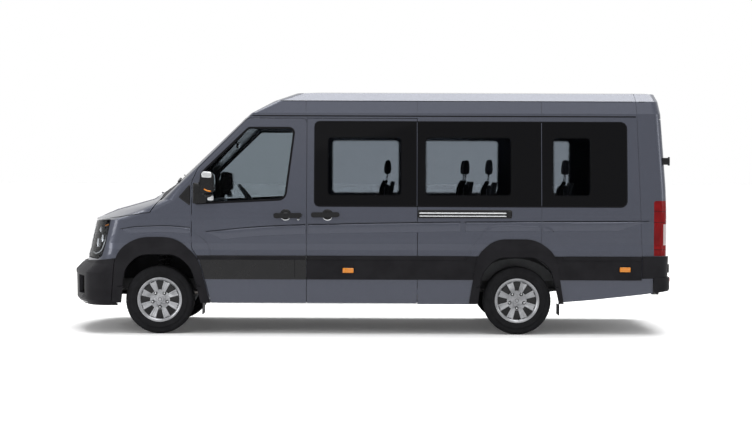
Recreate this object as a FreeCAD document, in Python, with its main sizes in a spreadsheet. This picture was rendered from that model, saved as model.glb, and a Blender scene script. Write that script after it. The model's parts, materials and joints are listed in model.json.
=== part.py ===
import FreeCAD, Part
import Sketcher
import math
import os

# A long, high-roofed minibus. +X points to the rear, +Y to the vehicle's right and +Z up.
# The origin is on the ground, midway along and across the vehicle.

doc = FreeCAD.newDocument("minibus")
sheet = doc.addObject("Spreadsheet::Sheet", "Sizes")

V = FreeCAD.Vector
SIDES = (("left", -1), ("right", 1))

# Driving dimensions in millimetres and degrees: name, value, what it is.
SIZES = (
    ("front_axle", -2190, "front axle station"),
    ("rear_axle", 1560, "rear axle station"),
    ("bumper_reach", 3200, "half of the overall length"),
    ("wall", 45, "thickness of body sides, doors and roof"),
    ("glass_wall", 6, "thickness of the glass"),
    ("glass_inset", 0.3, "bonding gap behind a glass pane"),
    ("door_gap", 6, "gap round a door, lid or panel"),
    ("sill_bottom", 326, "lower edge of the doors and sills"),
    ("door_top", 2262, "upper edge of the doors"),
    ("drip_rail", 2285, "lower edge of the roof panel"),
    ("door_front", -1850, "front edge of the front door"),
    ("front_door_rear", -649, "shut line between front and sliding door"),
    ("sliding_door_rear", 508, "rear edge of the sliding door"),
    ("glass_joint", 1810, "joint between the two rear side panes"),
    ("glass_end", 2700, "rear end of the side glass band"),
    ("glass_low", 1345, "lower edge of the glass band"),
    ("glass_high", 2228, "upper edge of the glass band"),
    ("clear_low", 1450, "lower edge of the clear window openings"),
    ("clear_high", 2075, "upper edge of the clear window openings"),
    ("belt_drop", 0.148, "rise of the wing and bonnet joint for each millimetre rearward"),
    ("belt_height", 1334, "height of that joint at the front door"),
    ("cowl_station", -2185, "rear edge of the bonnet"),
    ("cowl_panel_half", 885, "half width of the cowl panel"),
    ("screen_low", 1562, "lower edge of the windscreen"),
    ("screen_high", 2278, "upper edge of the windscreen"),
    ("screen_low_half", 888, "half width of the windscreen at its foot"),
    ("screen_high_half", 815, "half width of the windscreen at its top"),
    ("rear_door_half", 905, "half width of the pair of rear doors"),
    ("rear_door_low", 612, "lower edge of the rear doors"),
    ("band_low", 576, "lower edge of the side moulding"),
    ("band_high", 825, "upper edge of the side moulding"),
    ("band_proud", 14, "how far the side moulding stands proud"),
    ("flare_proud", 24, "how far the wheel arch flares stand proud"),
    ("pressing_proud", 8, "how far the pressings round the wheels stand proud"),
    ("groove_width", 10, "height of the groove along the flank"),
    ("groove_depth", 6, "depth of the grooves"),
    ("seam_width", 5, "width of the fixed panel joints"),
    ("lamp_low", 834, "lower end of the tail lamp"),
    ("lamp_high", 1410, "upper end of the tail lamp"),
    ("lamp_front", 2984, "front edge of the tail lamp"),
    ("bumper_wall", 35, "thickness of the bumper skins"),
    ("tyre_radius", 356, "outer radius of the tyre"),
    ("tyre_width", 236, "width of the tyre"),
    ("rim_radius", 218, "radius of the tyre's bead seat"),
    ("rim_width", 190, "width over the rim flanges"),
    ("rim_wall", 9, "thickness of the rim barrel"),
    ("spoke_count", 8, "number of wheel spokes"),
    ("nut_circle", 160, "pitch circle of the wheel nuts"),
    ("hub_bore", 33, "radius of the wheel's centre cap"),
    ("wheel_track", 1770, "distance between wheel centre planes"),
    ("kingpin", 790, "distance of the steering axis from the middle"),
    ("disc_radius", 150, "radius of the brake discs"),
    ("floor_top", 600, "height of the cabin floor"),
    ("floor_wall", 50, "thickness of the floor"),
    ("floor_half", 972.7, "half width of the floor"),
    ("rail_centre", 470, "distance of a frame rail from the middle"),
    ("rail_width", 80, "width of a frame rail"),
    ("rail_depth", 110, "depth of a frame rail"),
    ("seat_pitch", 800, "distance between seat rows"),
    ("seat_width", 440, "width of one seat"),
    ("seat_base", 1040, "height of the seat cushion's top"),
    ("seat_top", 1870, "height of the head restraint's top"),
    ("tow_bore", 14, "inner radius of the towing eyes"),
    ("eye_wall", 22, "thickness of the towing eyes"),
)

# The body's outer skin is a ruled loft through level outlines. Each outline has a curved
# front, a curved rear and straight sides. Columns: name, height, front, front radius,
# front corner radius, half width, rear.
LEVELS = (
    ("sill", 320, -3150, 1900, 240, 1005, 3145),
    ("flank", 830, -3064, 1900, 240, 1034, 3160),
    ("ledge", 885, -3048, 1900, 240, 1034, 3161),
    ("crease", 950, -3036, 1900, 235, 1024, 3162),
    ("shoulder", 1192, -2980, 1900, 230, 1028, 3163),
    ("bonnet", 1290, -2760, 1500, 240, 1026, 3162),
    ("scuttle", 1404, -2354, 2300, 150, 1018, 3160),
    ("cowl", 1540, -2130, 4200, 80, 1007, 3155),
    ("header", 2320, -1296, 6000, 60, 928, 3100),
    ("cant", 2452, -1065, 4000, 90, 872, 3075),
    ("crown", 2535, -830, 3600, 110, 740, 3045),
    ("top", 2550, -640, 3200, 120, 560, 2985),
)
COLUMNS = ("height", "front", "curve", "corner", "half", "rear")
REAR_CURVE = 12000
REAR_CORNER = 90

row = 1
for name, value, note in SIZES:
    sheet.set("A%d" % row, name)
    sheet.set("B%d" % row, str(value))
    sheet.setAlias("B%d" % row, name)
    sheet.set("C%d" % row, note)
    row += 1
for level in LEVELS:
    for column, value in zip(COLUMNS, level[1:]):
        sheet.set("A%d" % row, "%s_%s" % (level[0], column))
        sheet.set("B%d" % row, str(value))
        sheet.setAlias("B%d" % row, "%s_%s" % (level[0], column))
        row += 1
doc.recompute()


def size(name):
    return float(sheet.get(name))


# ---- the body's skin ----

def outline_at(z, front, curve, corner, half, rear):
    """Level outline of eight arcs and lines that run tangent into each other."""

    def end(station, bow, turn, sign):
        # A front or rear arc with a corner arc tangent to it and to the straight side.
        bow = max(bow, half * 1.05)
        turn = max(turn, 12)
        reach = math.sqrt((bow - turn) ** 2 - (half - turn) ** 2)
        centre = station + sign * bow
        pivot = centre - sign * reach
        lean = math.atan2(half - turn, reach)
        on_bow = (centre - sign * bow * math.cos(lean), bow * math.sin(lean))
        middle = math.pi / 4 + lean / 2
        on_turn = (pivot - sign * turn * math.cos(middle), half - turn + turn * math.sin(middle))
        return station, on_bow, on_turn, (pivot, half)

    fore = end(front, curve, corner, 1)
    aft = end(rear[0], rear[1], rear[2], -1)
    left, right = -1, 1

    def at(pair, side):
        return V(pair[0], side * pair[1], z)

    def arc(first, second, third):
        return Part.Arc(first, second, third).toShape()

    edges = [
        arc(at(fore[1], right), V(fore[0], 0, z), at(fore[1], left)),
        arc(at(fore[1], left), at(fore[2], left), at(fore[3], left)),
        Part.makeLine(at(fore[3], left), at(aft[3], left)),
        arc(at(aft[3], left), at(aft[2], left), at(aft[1], left)),
        arc(at(aft[1], left), V(aft[0], 0, z), at(aft[1], right)),
        arc(at(aft[1], right), at(aft[2], right), at(aft[3], right)),
        Part.makeLine(at(aft[3], right), at(fore[3], right)),
        arc(at(fore[3], right), at(fore[2], right), at(fore[1], right)),
    ]
    return Part.Wire(edges)


def level_outline(name, outset, drop):
    """Outline of one of the body's levels, moved outward by outset and down by drop."""
    rear = (size(name + "_rear") + outset, REAR_CURVE + outset, REAR_CORNER + outset)
    return outline_at(
        size(name + "_height") - drop, size(name + "_front") - outset, size(name + "_curve") + outset,
        size(name + "_corner") + outset, size(name + "_half") + outset, rear)


def half_at(z):
    """Half width of the body's straight side at height z."""
    for low, high in zip(LEVELS, LEVELS[1:]):
        z0, z1 = size(low[0] + "_height"), size(high[0] + "_height")
        if z0 <= z <= z1:
            share = (z - z0) / (z1 - z0)
            return size(low[0] + "_half") * (1 - share) + size(high[0] + "_half") * share
    raise ValueError("no skin at that height")


def body_solid(outset):
    """The body's form grown by outset; a negative outset also lowers the sloping panels."""
    wires = []
    for level in LEVELS:
        name = level[0]
        sloping = size(name + "_height") > size("crease_height")
        drop = -outset if sloping else 0
        if name == "sill":
            drop = abs(outset) + 1
        wires.append(level_outline(name, outset, drop))
    return Part.makeLoft(wires, True, True)


# ---- outlines and prisms ----

def rounded(points):
    """Closed run of straight lines through (u, v, radius) points with rounded corners."""
    corners = [V(p[0], p[1], 0) for p in points]
    radii = [p[2] if len(p) > 2 else 0 for p in points]
    count = len(corners)
    stretches = []
    for i in range(count):
        before, here, after = corners[i - 1], corners[i], corners[(i + 1) % count]
        back = (before - here).normalize()
        on = (after - here).normalize()
        if radii[i] <= 0:
            stretches.append((here, None, here))
            continue
        half = back.getAngle(on) / 2
        run = radii[i] / math.tan(half)
        centre = here + (back + on).normalize() * (radii[i] / math.sin(half))
        middle = centre + (here - centre).normalize() * radii[i]
        stretches.append((here + back * run, middle, here + on * run))
    edges = []
    for i in range(count):
        start, middle, end = stretches[i]
        if middle is not None:
            edges.append(Part.Arc(start, middle, end).toShape())
        following = stretches[(i + 1) % count][0]
        if end.distanceToPoint(following) > 1e-6:
            edges.append(Part.makeLine(end, following))
    return Part.Wire(edges)


def side_prism(points, near, far, grow=0):
    """Side-view outline of (x, z, radius) points, extruded from y = near to y = far."""
    wire = rounded(points)
    if grow:
        wire = wire.makeOffset2D(grow)
    face = Part.Face(wire)
    face.rotate(V(0, 0, 0), V(1, 0, 0), 90)
    face.translate(V(0, near, 0))
    return face.extrude(V(0, far - near, 0))


def end_prism(points, near, far):
    """End-view outline of (y, z, radius) points, extruded from x = near to x = far."""
    face = Part.Face(rounded(points))
    face.rotate(V(0, 0, 0), V(1, 0, 0), 90)
    face.rotate(V(0, 0, 0), V(0, 0, 1), 90)
    face.translate(V(near, 0, 0))
    return face.extrude(V(far - near, 0, 0))


def block(x0, x1, y0, y1, z0, z1):
    return Part.makeBox(x1 - x0, y1 - y0, z1 - z0, V(x0, y0, z0))


def one_side(points, side, grow=0, start=0):
    if side < 0:
        return side_prism(points, -1400, -start, grow)
    return side_prism(points, start, 1400, grow)


nodes = []


def mirrored(shape):
    return shape.mirror(V(0, 0, 0), V(0, 1, 0))


def add_pair(label, shape):
    """A left-hand panel and its mirror image on the right."""
    add_shape(label + "_left", shape)
    add_shape(label + "_right", mirrored(shape))


def add_shape(label, shape):
    """A panel whose form is cut from the body's skin."""
    feature = doc.addObject("Part::Feature", label)
    feature.Label = label
    feature.Shape = shape
    nodes.append(feature)
    return feature


# ---- side-view outlines ----

wall = size("wall")
gap = size("door_gap")
front_axle = size("front_axle")
rear_axle = size("rear_axle")
sill = size("sill_bottom")
door_front = size("door_front")
door_rear = size("front_door_rear")
sliding_rear = size("sliding_door_rear")
glass_low = size("glass_low")
glass_high = size("glass_high")
band_low = size("band_low")
band_high = size("band_high")
cowl_station = size("cowl_station")
FAR = 4000
HIGH = 3000
LOW = 100


def belt(x):
    """Height of the joint between the bonnet and the wing at station x."""
    return size("belt_height") + (x - door_front) * size("belt_drop")


# Wheel arch outlines as (distance behind the axle, height, corner radius).
FRONT_FLARE = (
    (-500, sill, 0), (-455, 860, 280), (-230, 1015, 400), (180, 1015, 380), (410, 800, 380), (530, sill, 0))
FRONT_ARCH = (
    (-400, sill - 20, 0), (-360, 690, 210), (-215, 838, 250), (185, 838, 250), (345, 690, 290), (440, sill - 20, 0))
REAR_FLARE = (
    (-507, sill, 0), (-420, 840, 250), (-240, 1003, 300), (190, 1003, 340), (400, 850, 290), (485, sill, 0))
REAR_ARCH = (
    (-415, sill - 20, 0), (-375, 640, 200), (-230, 817, 240), (200, 817, 240), (350, 700, 240), (440, sill - 20, 0))
# Low pressings of the body round the flares.
FRONT_PRESSING = ((-560, 900, 0), (-470, 1060, 150), (-240, 1138, 300), (230, 1138, 300), (520, 960, 200), (545, 700, 0))
REAR_PRESSING = ((-505, 700, 0), (-480, 900, 150), (-310, 1143, 200), (330, 1143, 200), (500, 900, 150), (510, 700, 0))


def about(axle, points):
    return [(axle + p[0], p[1], p[2]) for p in points]


front_flare = about(front_axle, FRONT_FLARE)
front_arch = about(front_axle, FRONT_ARCH)
rear_flare = about(rear_axle, REAR_FLARE)
rear_arch = about(rear_axle, REAR_ARCH)
front_pressing = about(front_axle, FRONT_PRESSING)
rear_pressing = about(rear_axle, REAR_PRESSING)


def bumper_line(x):
    """Height of the joint between the front bumper and the panels above it."""
    return 725 + (x + 3200) * 0.12


# Lower edge of the body behind the rear wheels, which rises towards the rear bumper.
UNDERSIDE = ((1900, 332), (2330, 367), (2860, 426), (FAR, 592))

door_top = size("door_top")
front_door = [
    (door_front, 1590, 60),
    (door_front, 905, 130),
    (front_axle + 430, 770, 150),
    (front_axle + 542, sill, 0),
    (door_rear - gap / 2, sill, 0),
    (door_rear - gap / 2, door_top, 50),
    (-1268, door_top, 50),
    (-1788, 1735, 60),
]
front_window = [
    (-1822, glass_low + 15, 15),
    (-870, glass_low + 62, 90),
    (-772, door_top - 94, 60),
    (-1262, door_top - 94, 30),
    (-1745, 1702, 50),
]
sliding_door = [
    (door_rear + gap / 2, sill, 0),
    (sliding_rear, sill, 0),
    (sliding_rear, door_top, 0),
    (door_rear + gap / 2, door_top, 0),
]


def pane(start, end, front_round, rear_round):
    return [
        (start, glass_low, front_round),
        (end, glass_low, rear_round),
        (end, glass_high, rear_round),
        (start, glass_high, front_round),
    ]


def clear(start, end):
    low, high = size("clear_low"), size("clear_high")
    return [(start, low, 50), (end, low, 50), (end, high, 50), (start, high, 50)]


joint = size("glass_joint")
first_pane = pane(door_rear + 84, sliding_rear - 5, 45, 1)
second_pane = pane(sliding_rear + 5, joint - 3, 1, 1)
third_pane = pane(joint + 3, size("glass_end"), 1, 60)
clear_openings = (clear(-440, 350), clear(590, 1500), clear(1925, 2330))

tail_lamp = [
    (size("lamp_front"), size("lamp_low"), 0),
    (FAR, size("lamp_low"), 0),
    (FAR, size("lamp_high"), 0),
    (size("lamp_front"), size("lamp_high"), 25),
]
headlamp = [
    (-2850, 776, 30),
    (-2796, 812, 40),
    (-2766, 905, 60),
    (-2700, belt(-2700) - 6, 15),
    (-3100, belt(-3100) - 6, 0),
    (-3200, 776, 0),
]
HEADLAMP_INNER = 500
bonnet_edge = [
    (-FAR, belt(-FAR), 0),
    (cowl_station - 100, belt(cowl_station - 100), 0),
    (cowl_station, 1423, 0),
    (cowl_station, HIGH, 0),
    (-FAR, HIGH, 0),
]
bonnet_line = [(p[0] - (gap if p[0] > -FAR else 0), p[1] + (gap if p[1] < HIGH else 0), 0) for p in bonnet_edge]
WING_STEP = 1000
WING_CORNER = -2620
wing = [
    (-FAR, bumper_line(-FAR), 0),
    (WING_CORNER, bumper_line(WING_CORNER), 0),
    (WING_CORNER, sill, 0),
    (front_axle + 540, sill, 0),
    (front_axle + 540, WING_STEP, 0),
    (door_front - gap, WING_STEP, 0),
    (door_front - gap, belt(door_front - gap), 0),
    (-FAR, belt(-FAR), 0),
]
side_zone = [
    (cowl_station - 100, belt(cowl_station - 100), 0),
    (door_front - gap, belt(door_front - gap), 0),
    (door_front - gap, LOW, 0),
    (UNDERSIDE[0][0], LOW, 0),
] + list(UNDERSIDE) + [
    (FAR, HIGH, 0),
    (cowl_station, HIGH, 0),
    (cowl_station, 1423, 0),
]

# ---- the lofted skins and the panels cut from them ----

outer = body_solid(0)
shell = outer.cut(body_solid(-wall))
glass_skin = outer.cut(body_solid(-size("glass_wall")))
glass_seat = outer.cut(body_solid(-size("glass_wall") - size("glass_inset")))
flare_skin = body_solid(size("flare_proud")).cut(outer)
band_skin = body_solid(size("band_proud")).cut(outer)

# The side panels are cut from the left half of the shell, which has low pressings round the
# wheels, a groove along the flank and the shut lines of the rear corner and the roof.
LEFT = -1
left_half = block(-FAR, FAR, -1400, 0, LOW, HIGH)
raised_skin = body_solid(size("pressing_proud")).cut(body_solid(-wall))
pressings = one_side(front_pressing, LEFT).fuse(one_side(rear_pressing, LEFT))
for flare in (front_flare, rear_flare):
    pressings = pressings.cut(one_side(flare, LEFT))
pressings = pressings.cut(block(-FAR, FAR, -1400, 0, LOW, band_high))
groove_width, groove_depth = size("groove_width"), size("groove_depth")
FLANK_GROOVE = ((-1718, 1078), (-1326, 1120), (-658, 1163), (330, 1188), (1800, 1190), (3300, 1200))
flank_groove = [(x, z) for x, z in FLANK_GROOVE]
flank_groove += [(x, z - groove_width) for x, z in reversed(FLANK_GROOVE)]
seam_width = size("seam_width")
rear_seam = [(2798, 2600), (2798 + seam_width, 2600), (2859 + seam_width, 820), (2859, 820)]
pane_seam = [(1808, 1360), (1808 + seam_width, 1360), (1808 + seam_width, 900), (1808, 900)]
groove_skin = outer.fuse(body_solid(size("pressing_proud"))).cut(body_solid(-groove_depth))
grooves = one_side(flank_groove, LEFT).cut(one_side(front_pressing, LEFT)).cut(one_side(rear_pressing, LEFT))
grooves = grooves.fuse(one_side(rear_seam, LEFT)).fuse(one_side(pane_seam, LEFT)).common(groove_skin)
left_shell = shell.common(left_half).cut(pressings).fuse(raised_skin.common(pressings)).cut(grooves)

screen = [
    (-size("screen_low_half"), size("screen_low"), 60),
    (size("screen_low_half"), size("screen_low"), 60),
    (size("screen_high_half"), size("screen_high"), 70),
    (-size("screen_high_half"), size("screen_high"), 70),
]
screen_hole = end_prism(screen, -FAR, -900)
roof_zone = block(-FAR, FAR, -1400, 1400, size("drip_rail"), HIGH)
cowl_half = size("cowl_panel_half")
cowl_top = size("screen_low") - 2
cowl_zone = block(cowl_station, -1700, -cowl_half, cowl_half, LOW, cowl_top)
cowl_cut = block(cowl_station - 100, -1700, -cowl_half, cowl_half, LOW, cowl_top)

roof = shell.common(roof_zone)
for start in (-664, 505, 1808):
    seam = block(start, start + seam_width, -1400, 1400, LOW, size("cant_height")).common(groove_skin)
    roof = roof.cut(seam)
roof = roof.cut(side_prism(rear_seam, -1400, 1400).common(groove_skin))
add_shape("roof", roof)
add_shape("windscreen", glass_skin.common(screen_hole))
add_shape("bonnet", shell.common(side_prism(bonnet_line, -1400, 1400)))
cowl = shell.common(cowl_zone).common(block(-FAR, FAR, -1400, 1400, 1250, HIGH))
for y in (-760, 690):
    cowl = cowl.fuse(shell.common(block(cowl_station - gap + 0.3, cowl_station + 5, y, y + 70, 1250, HIGH)))
add_shape("cowl", cowl)

posts_left = []
rear_half = size("rear_door_half")
rear_low = size("rear_door_low")
# Everything behind this station is rear wall, and the bumper's side step ends there.
REAR_WALL = 2985
BUMPER_STEP = 2984
GRILLE_HALF = 470
GRILLE_LOW = 790
GRILLE_HIGH = 1130
grille_zone = block(-3400, -2700, -GRILLE_HALF, GRILLE_HALF, GRILLE_LOW, GRILLE_HIGH)

band = [(-FAR, band_low, 0), (FAR, band_low, 0), (FAR, band_high, 0), (-FAR, band_high, 0)]
left_door = one_side(front_door, LEFT).cut(one_side(front_flare, LEFT, gap))
door_opening = one_side(front_door, LEFT, gap).cut(one_side(front_flare, LEFT))
left_window = one_side(front_window, LEFT)
left_lamp = one_side(headlamp, LEFT, 0, HEADLAMP_INNER)

wing_panel = left_shell.common(one_side(wing, LEFT)).cut(door_opening)
wing_panel = wing_panel.cut(one_side(front_arch, LEFT, 8)).cut(left_lamp).cut(grille_zone)
for low in (950, 1180):
    leaf = shell.common(block(door_front - gap - 5, door_front - 0.3, -1400, 0, low, low + 70))
    wing_panel = wing_panel.fuse(leaf)
add_pair("wing", wing_panel)
lamp_glass = shell.common(left_lamp).cut(grille_zone)
add_shape("headlamps", Part.makeCompound([lamp_glass, mirrored(lamp_glass)]))
# The door's inner edge stays clear of the flare as the door swings.
inner_relief = one_side(front_flare, LEFT, 34).common(body_solid(-15))
add_pair("front_door", left_shell.common(left_door).cut(left_window).cut(inner_relief))
add_pair("front_door_glass", glass_skin.common(left_window))

# The body side runs from the screen pillar to the rear corner. The right one has no sliding
# door, so it carries the first pane itself.
frame = left_shell.common(one_side(side_zone, LEFT)).cut(roof_zone).cut(screen_hole).cut(cowl_cut)
frame = frame.cut(block(-FAR, front_axle + 600, -1400, 1400, LOW, WING_STEP))
frame = frame.cut(one_side(front_door, LEFT, gap)).cut(one_side(rear_arch, LEFT, 8))
frame = frame.cut(one_side(tail_lamp, LEFT, 0.3, rear_half))
frame = frame.cut(block(BUMPER_STEP - gap, FAR, -1400, 1400, LOW, rear_low - gap))
opening_half = rear_half + gap
frame = frame.cut(block(REAR_WALL, FAR, -opening_half, opening_half, LOW, door_top + gap))
panes = [one_side(p, LEFT) for p in (first_pane, second_pane, third_pane)]
openings = [one_side(hole, LEFT) for hole in clear_openings]
for pane_zone, opening in list(zip(panes, openings))[1:]:
    frame = frame.cut(glass_seat.common(pane_zone)).cut(opening)
for low in (650, 1440, 1960):
    leaf = shell.common(block(2800, FAR, -opening_half - 5, -rear_half - 0.3, low, low + 90))
    frame = frame.fuse(leaf)
pillar_skin = body_solid(-wall - 0.3).cut(body_solid(-wall - 40))
for start in (-715, 2700):
    pillar = pillar_skin.common(block(start, start + 120, -1400, 0, size("floor_top") + 0.3, size("drip_rail")))
    posts_left.append(pillar)
first_seat = glass_seat.common(panes[0])
left_frame = frame.cut(one_side(sliding_door, LEFT, gap))
for low in (420, 1100):
    catch = shell.common(block(sliding_rear + 0.3, sliding_rear + gap + 5, -1400, 0, low, low + 60))
    left_frame = left_frame.fuse(catch)
add_shape("body_side_left", left_frame)
add_shape("body_side_right", mirrored(frame.cut(first_seat).cut(openings[0])))
glass = Part.makeCompound([glass_skin.common(p) for p in panes])
add_pair("side_glass", glass)
sliding = left_shell.common(one_side(sliding_door, LEFT))
add_shape("sliding_door", sliding.cut(first_seat).cut(openings[0]))

add_shape("pillars", Part.makeCompound(posts_left + [mirrored(post) for post in posts_left]))
lamp = shell.common(one_side(tail_lamp, LEFT, 0, opening_half))
add_shape("tail_lamps", Part.makeCompound([lamp, mirrored(lamp)]))

rear_door = shell.common(block(REAR_WALL, FAR, -rear_half, -gap / 2, rear_low, door_top))
rear_hole = end_prism([(-800, 1420, 60), (-120, 1420, 50), (-120, 2080, 50), (-770, 2080, 60)], 2800, FAR)
rear_pane = end_prism([(-850, 1365, 60), (-70, 1365, 50), (-70, 2150, 50), (-815, 2150, 60)], 2800, FAR)
add_pair("rear_door", rear_door.cut(glass_seat.common(rear_pane)).cut(rear_hole))
add_pair("rear_door_glass", glass_skin.common(rear_pane))

# Black cladding: two flares and the moulding between them, in front of which the doors
# carry their own length.
band_zone = band_skin.common(one_side(band, LEFT))
front_part = flare_skin.common(one_side(front_flare, LEFT)).cut(one_side(front_arch, LEFT))
rear_part = flare_skin.common(one_side(rear_flare, LEFT)).cut(one_side(rear_arch, LEFT))
between = band_zone.common(block(door_rear + gap / 2, 2858, -1400, 1400, LOW, HIGH))
between = between.cut(one_side(rear_flare, LEFT))
# Mud flaps hang from the rear ends of both flares.
FLAP_LOW = 208
for_flaps = []
for station in (front_axle + 452, rear_axle + 430):
    tab = block(station, station + 9, -1029, -1007.5, sill - 26, sill + 20)
    for_flaps.append(tab.fuse(block(station, station + 9, -1029, -800, FLAP_LOW, sill - 8)))
front_part = front_part.fuse(for_flaps[0])
rear_part = rear_part.fuse(for_flaps[1])
add_pair("cladding", Part.makeCompound([front_part, rear_part.fuse(between)]))
door_band = band_zone.common(left_door)

# The grille fills the nose between the headlamps with level bars.
nose = shell.common(grille_zone)
BARS = 5
bar_pitch = (GRILLE_HIGH - GRILLE_LOW) / BARS
for i in range(BARS):
    low = GRILLE_LOW + i * bar_pitch
    nose = nose.cut(block(-3400, -2700, -GRILLE_HALF + 40, GRILLE_HALF - 40, low + 14, low + bar_pitch - 14))
add_shape("grille", nose)

# ---- bumpers: lofted skins of their own ----


def bumper_solid(levels, inset):
    """Ruled loft through (height, front, front radius, corner radius, half width, rear) levels, shrunk by inset."""
    wires = []
    for z, front, curve, corner, half, rear in levels:
        aft = (rear - inset, REAR_CURVE, BUMPER_CORNER - inset)
        wires.append(outline_at(z, front + inset, curve - inset, corner - inset, half - inset, aft))
    return Part.makeLoft(wires, True, True)


BUMPER_CORNER = 120
reach = size("bumper_reach")
bumper_wall = size("bumper_wall")
FRONT_BUMPER = (
    (296, -reach + 60, 2000, 240, 1000, 3000),
    (350, -reach + 4, 2000, 260, 1034, 3000),
    (640, -reach, 2000, 260, 1052, 3000),
    (735, -reach + 92, 1950, 255, 1048, 3000),
    (800, -reach + 105, 1950, 250, 1046, 3000),
)
REAR_BUMPER = (
    (430, -3000, 2000, 200, 1040, reach - 12),
    (500, -3000, 2000, 200, 1046, reach),
    (rear_low - gap, -3000, 2000, 200, 1052, reach),
)


def bumper_skin(levels):
    inner_levels = [(levels[0][0] - 1,) + levels[0][1:]] + list(levels[1:-1])
    inner_levels.append((levels[-1][0] + 1,) + levels[-1][1:])
    return bumper_solid(levels, 0).cut(bumper_solid(inner_levels, bumper_wall))


front_bumper = bumper_skin(FRONT_BUMPER).common(block(-FAR, front_axle - 440, -1400, 1400, LOW, HIGH))
above = [(-FAR, bumper_line(-FAR) - 0.3), (0, bumper_line(0) - 0.3), (0, HIGH), (-FAR, HIGH)]
front_bumper = front_bumper.cut(side_prism(above, -1400, 1400))
for side in (-1, 1):
    front_bumper = front_bumper.cut(one_side(front_flare, side, gap))
air_intake = end_prism([(-380, 360, 40), (380, 360, 40), (410, 560, 50), (-410, 560, 50)], -FAR, -2900)
front_bumper = front_bumper.cut(air_intake)
for side in (-1, 1):
    near, far = sorted((side * 640, side * 880))
    front_bumper = front_bumper.cut(block(-FAR, -2900, near, far, 410, 600))
add_shape("front_bumper", front_bumper)

# The rear bumper's corners lie on the body's rear pillars as skins of their own.
rear_bumper = bumper_skin(REAR_BUMPER).common(block(BUMPER_STEP, FAR, -1400, 1400, LOW, HIGH))
for side in (-1, 1):
    near, far = sorted((side * opening_half, side * 1400))
    rear_bumper = rear_bumper.fuse(flare_skin.common(block(2864, FAR, near, far, rear_low - gap - 10, 828)))
under = [(UNDERSIDE[0][0], LOW)] + list(UNDERSIDE) + [(FAR, LOW)]
rear_bumper = rear_bumper.cut(side_prism(under, -1400, 1400))
add_shape("rear_bumper", rear_bumper)

# ---- features bound to the sheet ----

NAMES = sorted([entry[0] for entry in SIZES], key=len, reverse=True)


def link(text):
    """Turns plain size names into references to the sheet's cells."""
    words = text.replace("(", " ( ").replace(")", " ) ").split()
    return " ".join("Sizes." + word if word in NAMES else word for word in words)


def bind(feature, **expressions):
    for key, text in expressions.items():
        feature.setExpression(key.replace("_at_", ".").replace("At", "Placement.Base."), link(text))


def bound_box(name, length, width, height, x, y, z):
    """Box of the given extents centred on y, starting at x and z."""
    feature = doc.addObject("Part::Box", name)
    bind(feature, Length=length, Width=width, Height=height)
    bind(feature, Atx=x, Aty="( %s ) - ( %s ) / 2" % (y, width), Atz=z)
    return feature


def bound_cylinder(name, radius, height, x, y, z, axis="z"):
    """Cylinder that starts at the point and runs along the axis."""
    feature = doc.addObject("Part::Cylinder", name)
    turn = {"x": (V(0, 1, 0), 90), "y": (V(1, 0, 0), -90), "z": (V(0, 0, 1), 0)}[axis]
    feature.Placement = FreeCAD.Placement(V(0, 0, 0), FreeCAD.Rotation(*turn))
    bind(feature, Radius=radius, Height=height, Atx=x, Aty=y, Atz=z)
    return feature


def fused(label, parts):
    feature = doc.addObject("Part::MultiFuse", label)
    feature.Shapes = parts
    feature.Label = label
    return feature


def cut_from(label, base, tool):
    feature = doc.addObject("Part::Cut", label)
    feature.Base = base
    feature.Tool = tool
    feature.Label = label
    return feature


def grouped(label, parts):
    feature = doc.addObject("Part::Compound", label)
    feature.Links = parts
    feature.Label = label
    return feature


def plane_of(body, role):
    return [f for f in body.Origin.OriginFeatures if f.Role == role][0]


def sketch_outline(body, name, role, corners):
    """Closed sketch whose corners are held from the origin by (across, up) expressions."""
    sketch = body.newObject("Sketcher::SketchObject", name)
    sketch.AttachmentSupport = [(plane_of(body, role), "")]
    sketch.MapMode = "FlatFace"
    values = [[float(doc_value(text)) for text in corner] for corner in corners]
    count = len(corners)
    for i in range(count):
        start, end = values[i], values[(i + 1) % count]
        sketch.addGeometry(Part.LineSegment(V(start[0], start[1], 0), V(end[0], end[1], 0)), False)
    for i in range(count):
        sketch.addConstraint(Sketcher.Constraint("Coincident", i, 2, (i + 1) % count, 1))
    for i in range(count):
        for kind, axis, number in (("DistanceX", -2, 0), ("DistanceY", -1, 1)):
            value, text = values[i][number], corners[i][number]
            if abs(value) < 1e-9:
                sketch.addConstraint(Sketcher.Constraint("PointOnObject", i, 1, axis))
                continue
            if value > 0:
                held = Sketcher.Constraint(kind, -1, 1, i, 1, value)
            else:
                held = Sketcher.Constraint(kind, i, 1, -1, 1, -value)
                text = "0 - ( %s )" % text
            index = sketch.addConstraint(held)
            sketch.setExpression("Constraints[%d]" % index, link(text))
    return sketch


def doc_value(text):
    """Value of an expression of sheet names, worked out by the sheet itself."""
    sheet.set("F1", "=" + text.replace(" ", ""))
    doc.recompute([sheet])
    return sheet.get("F1")


def new_body(label):
    body = doc.addObject("PartDesign::Body", label)
    body.Label = label
    return body


def placed(feature, x, y, z, rotation=None):
    if rotation is not None:
        feature.Placement = FreeCAD.Placement(V(0, 0, 0), rotation)
    bind(feature, Atx=x, Aty=y, Atz=z)
    nodes.append(feature)
    return feature


# ---- road wheels and tyres ----

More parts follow.
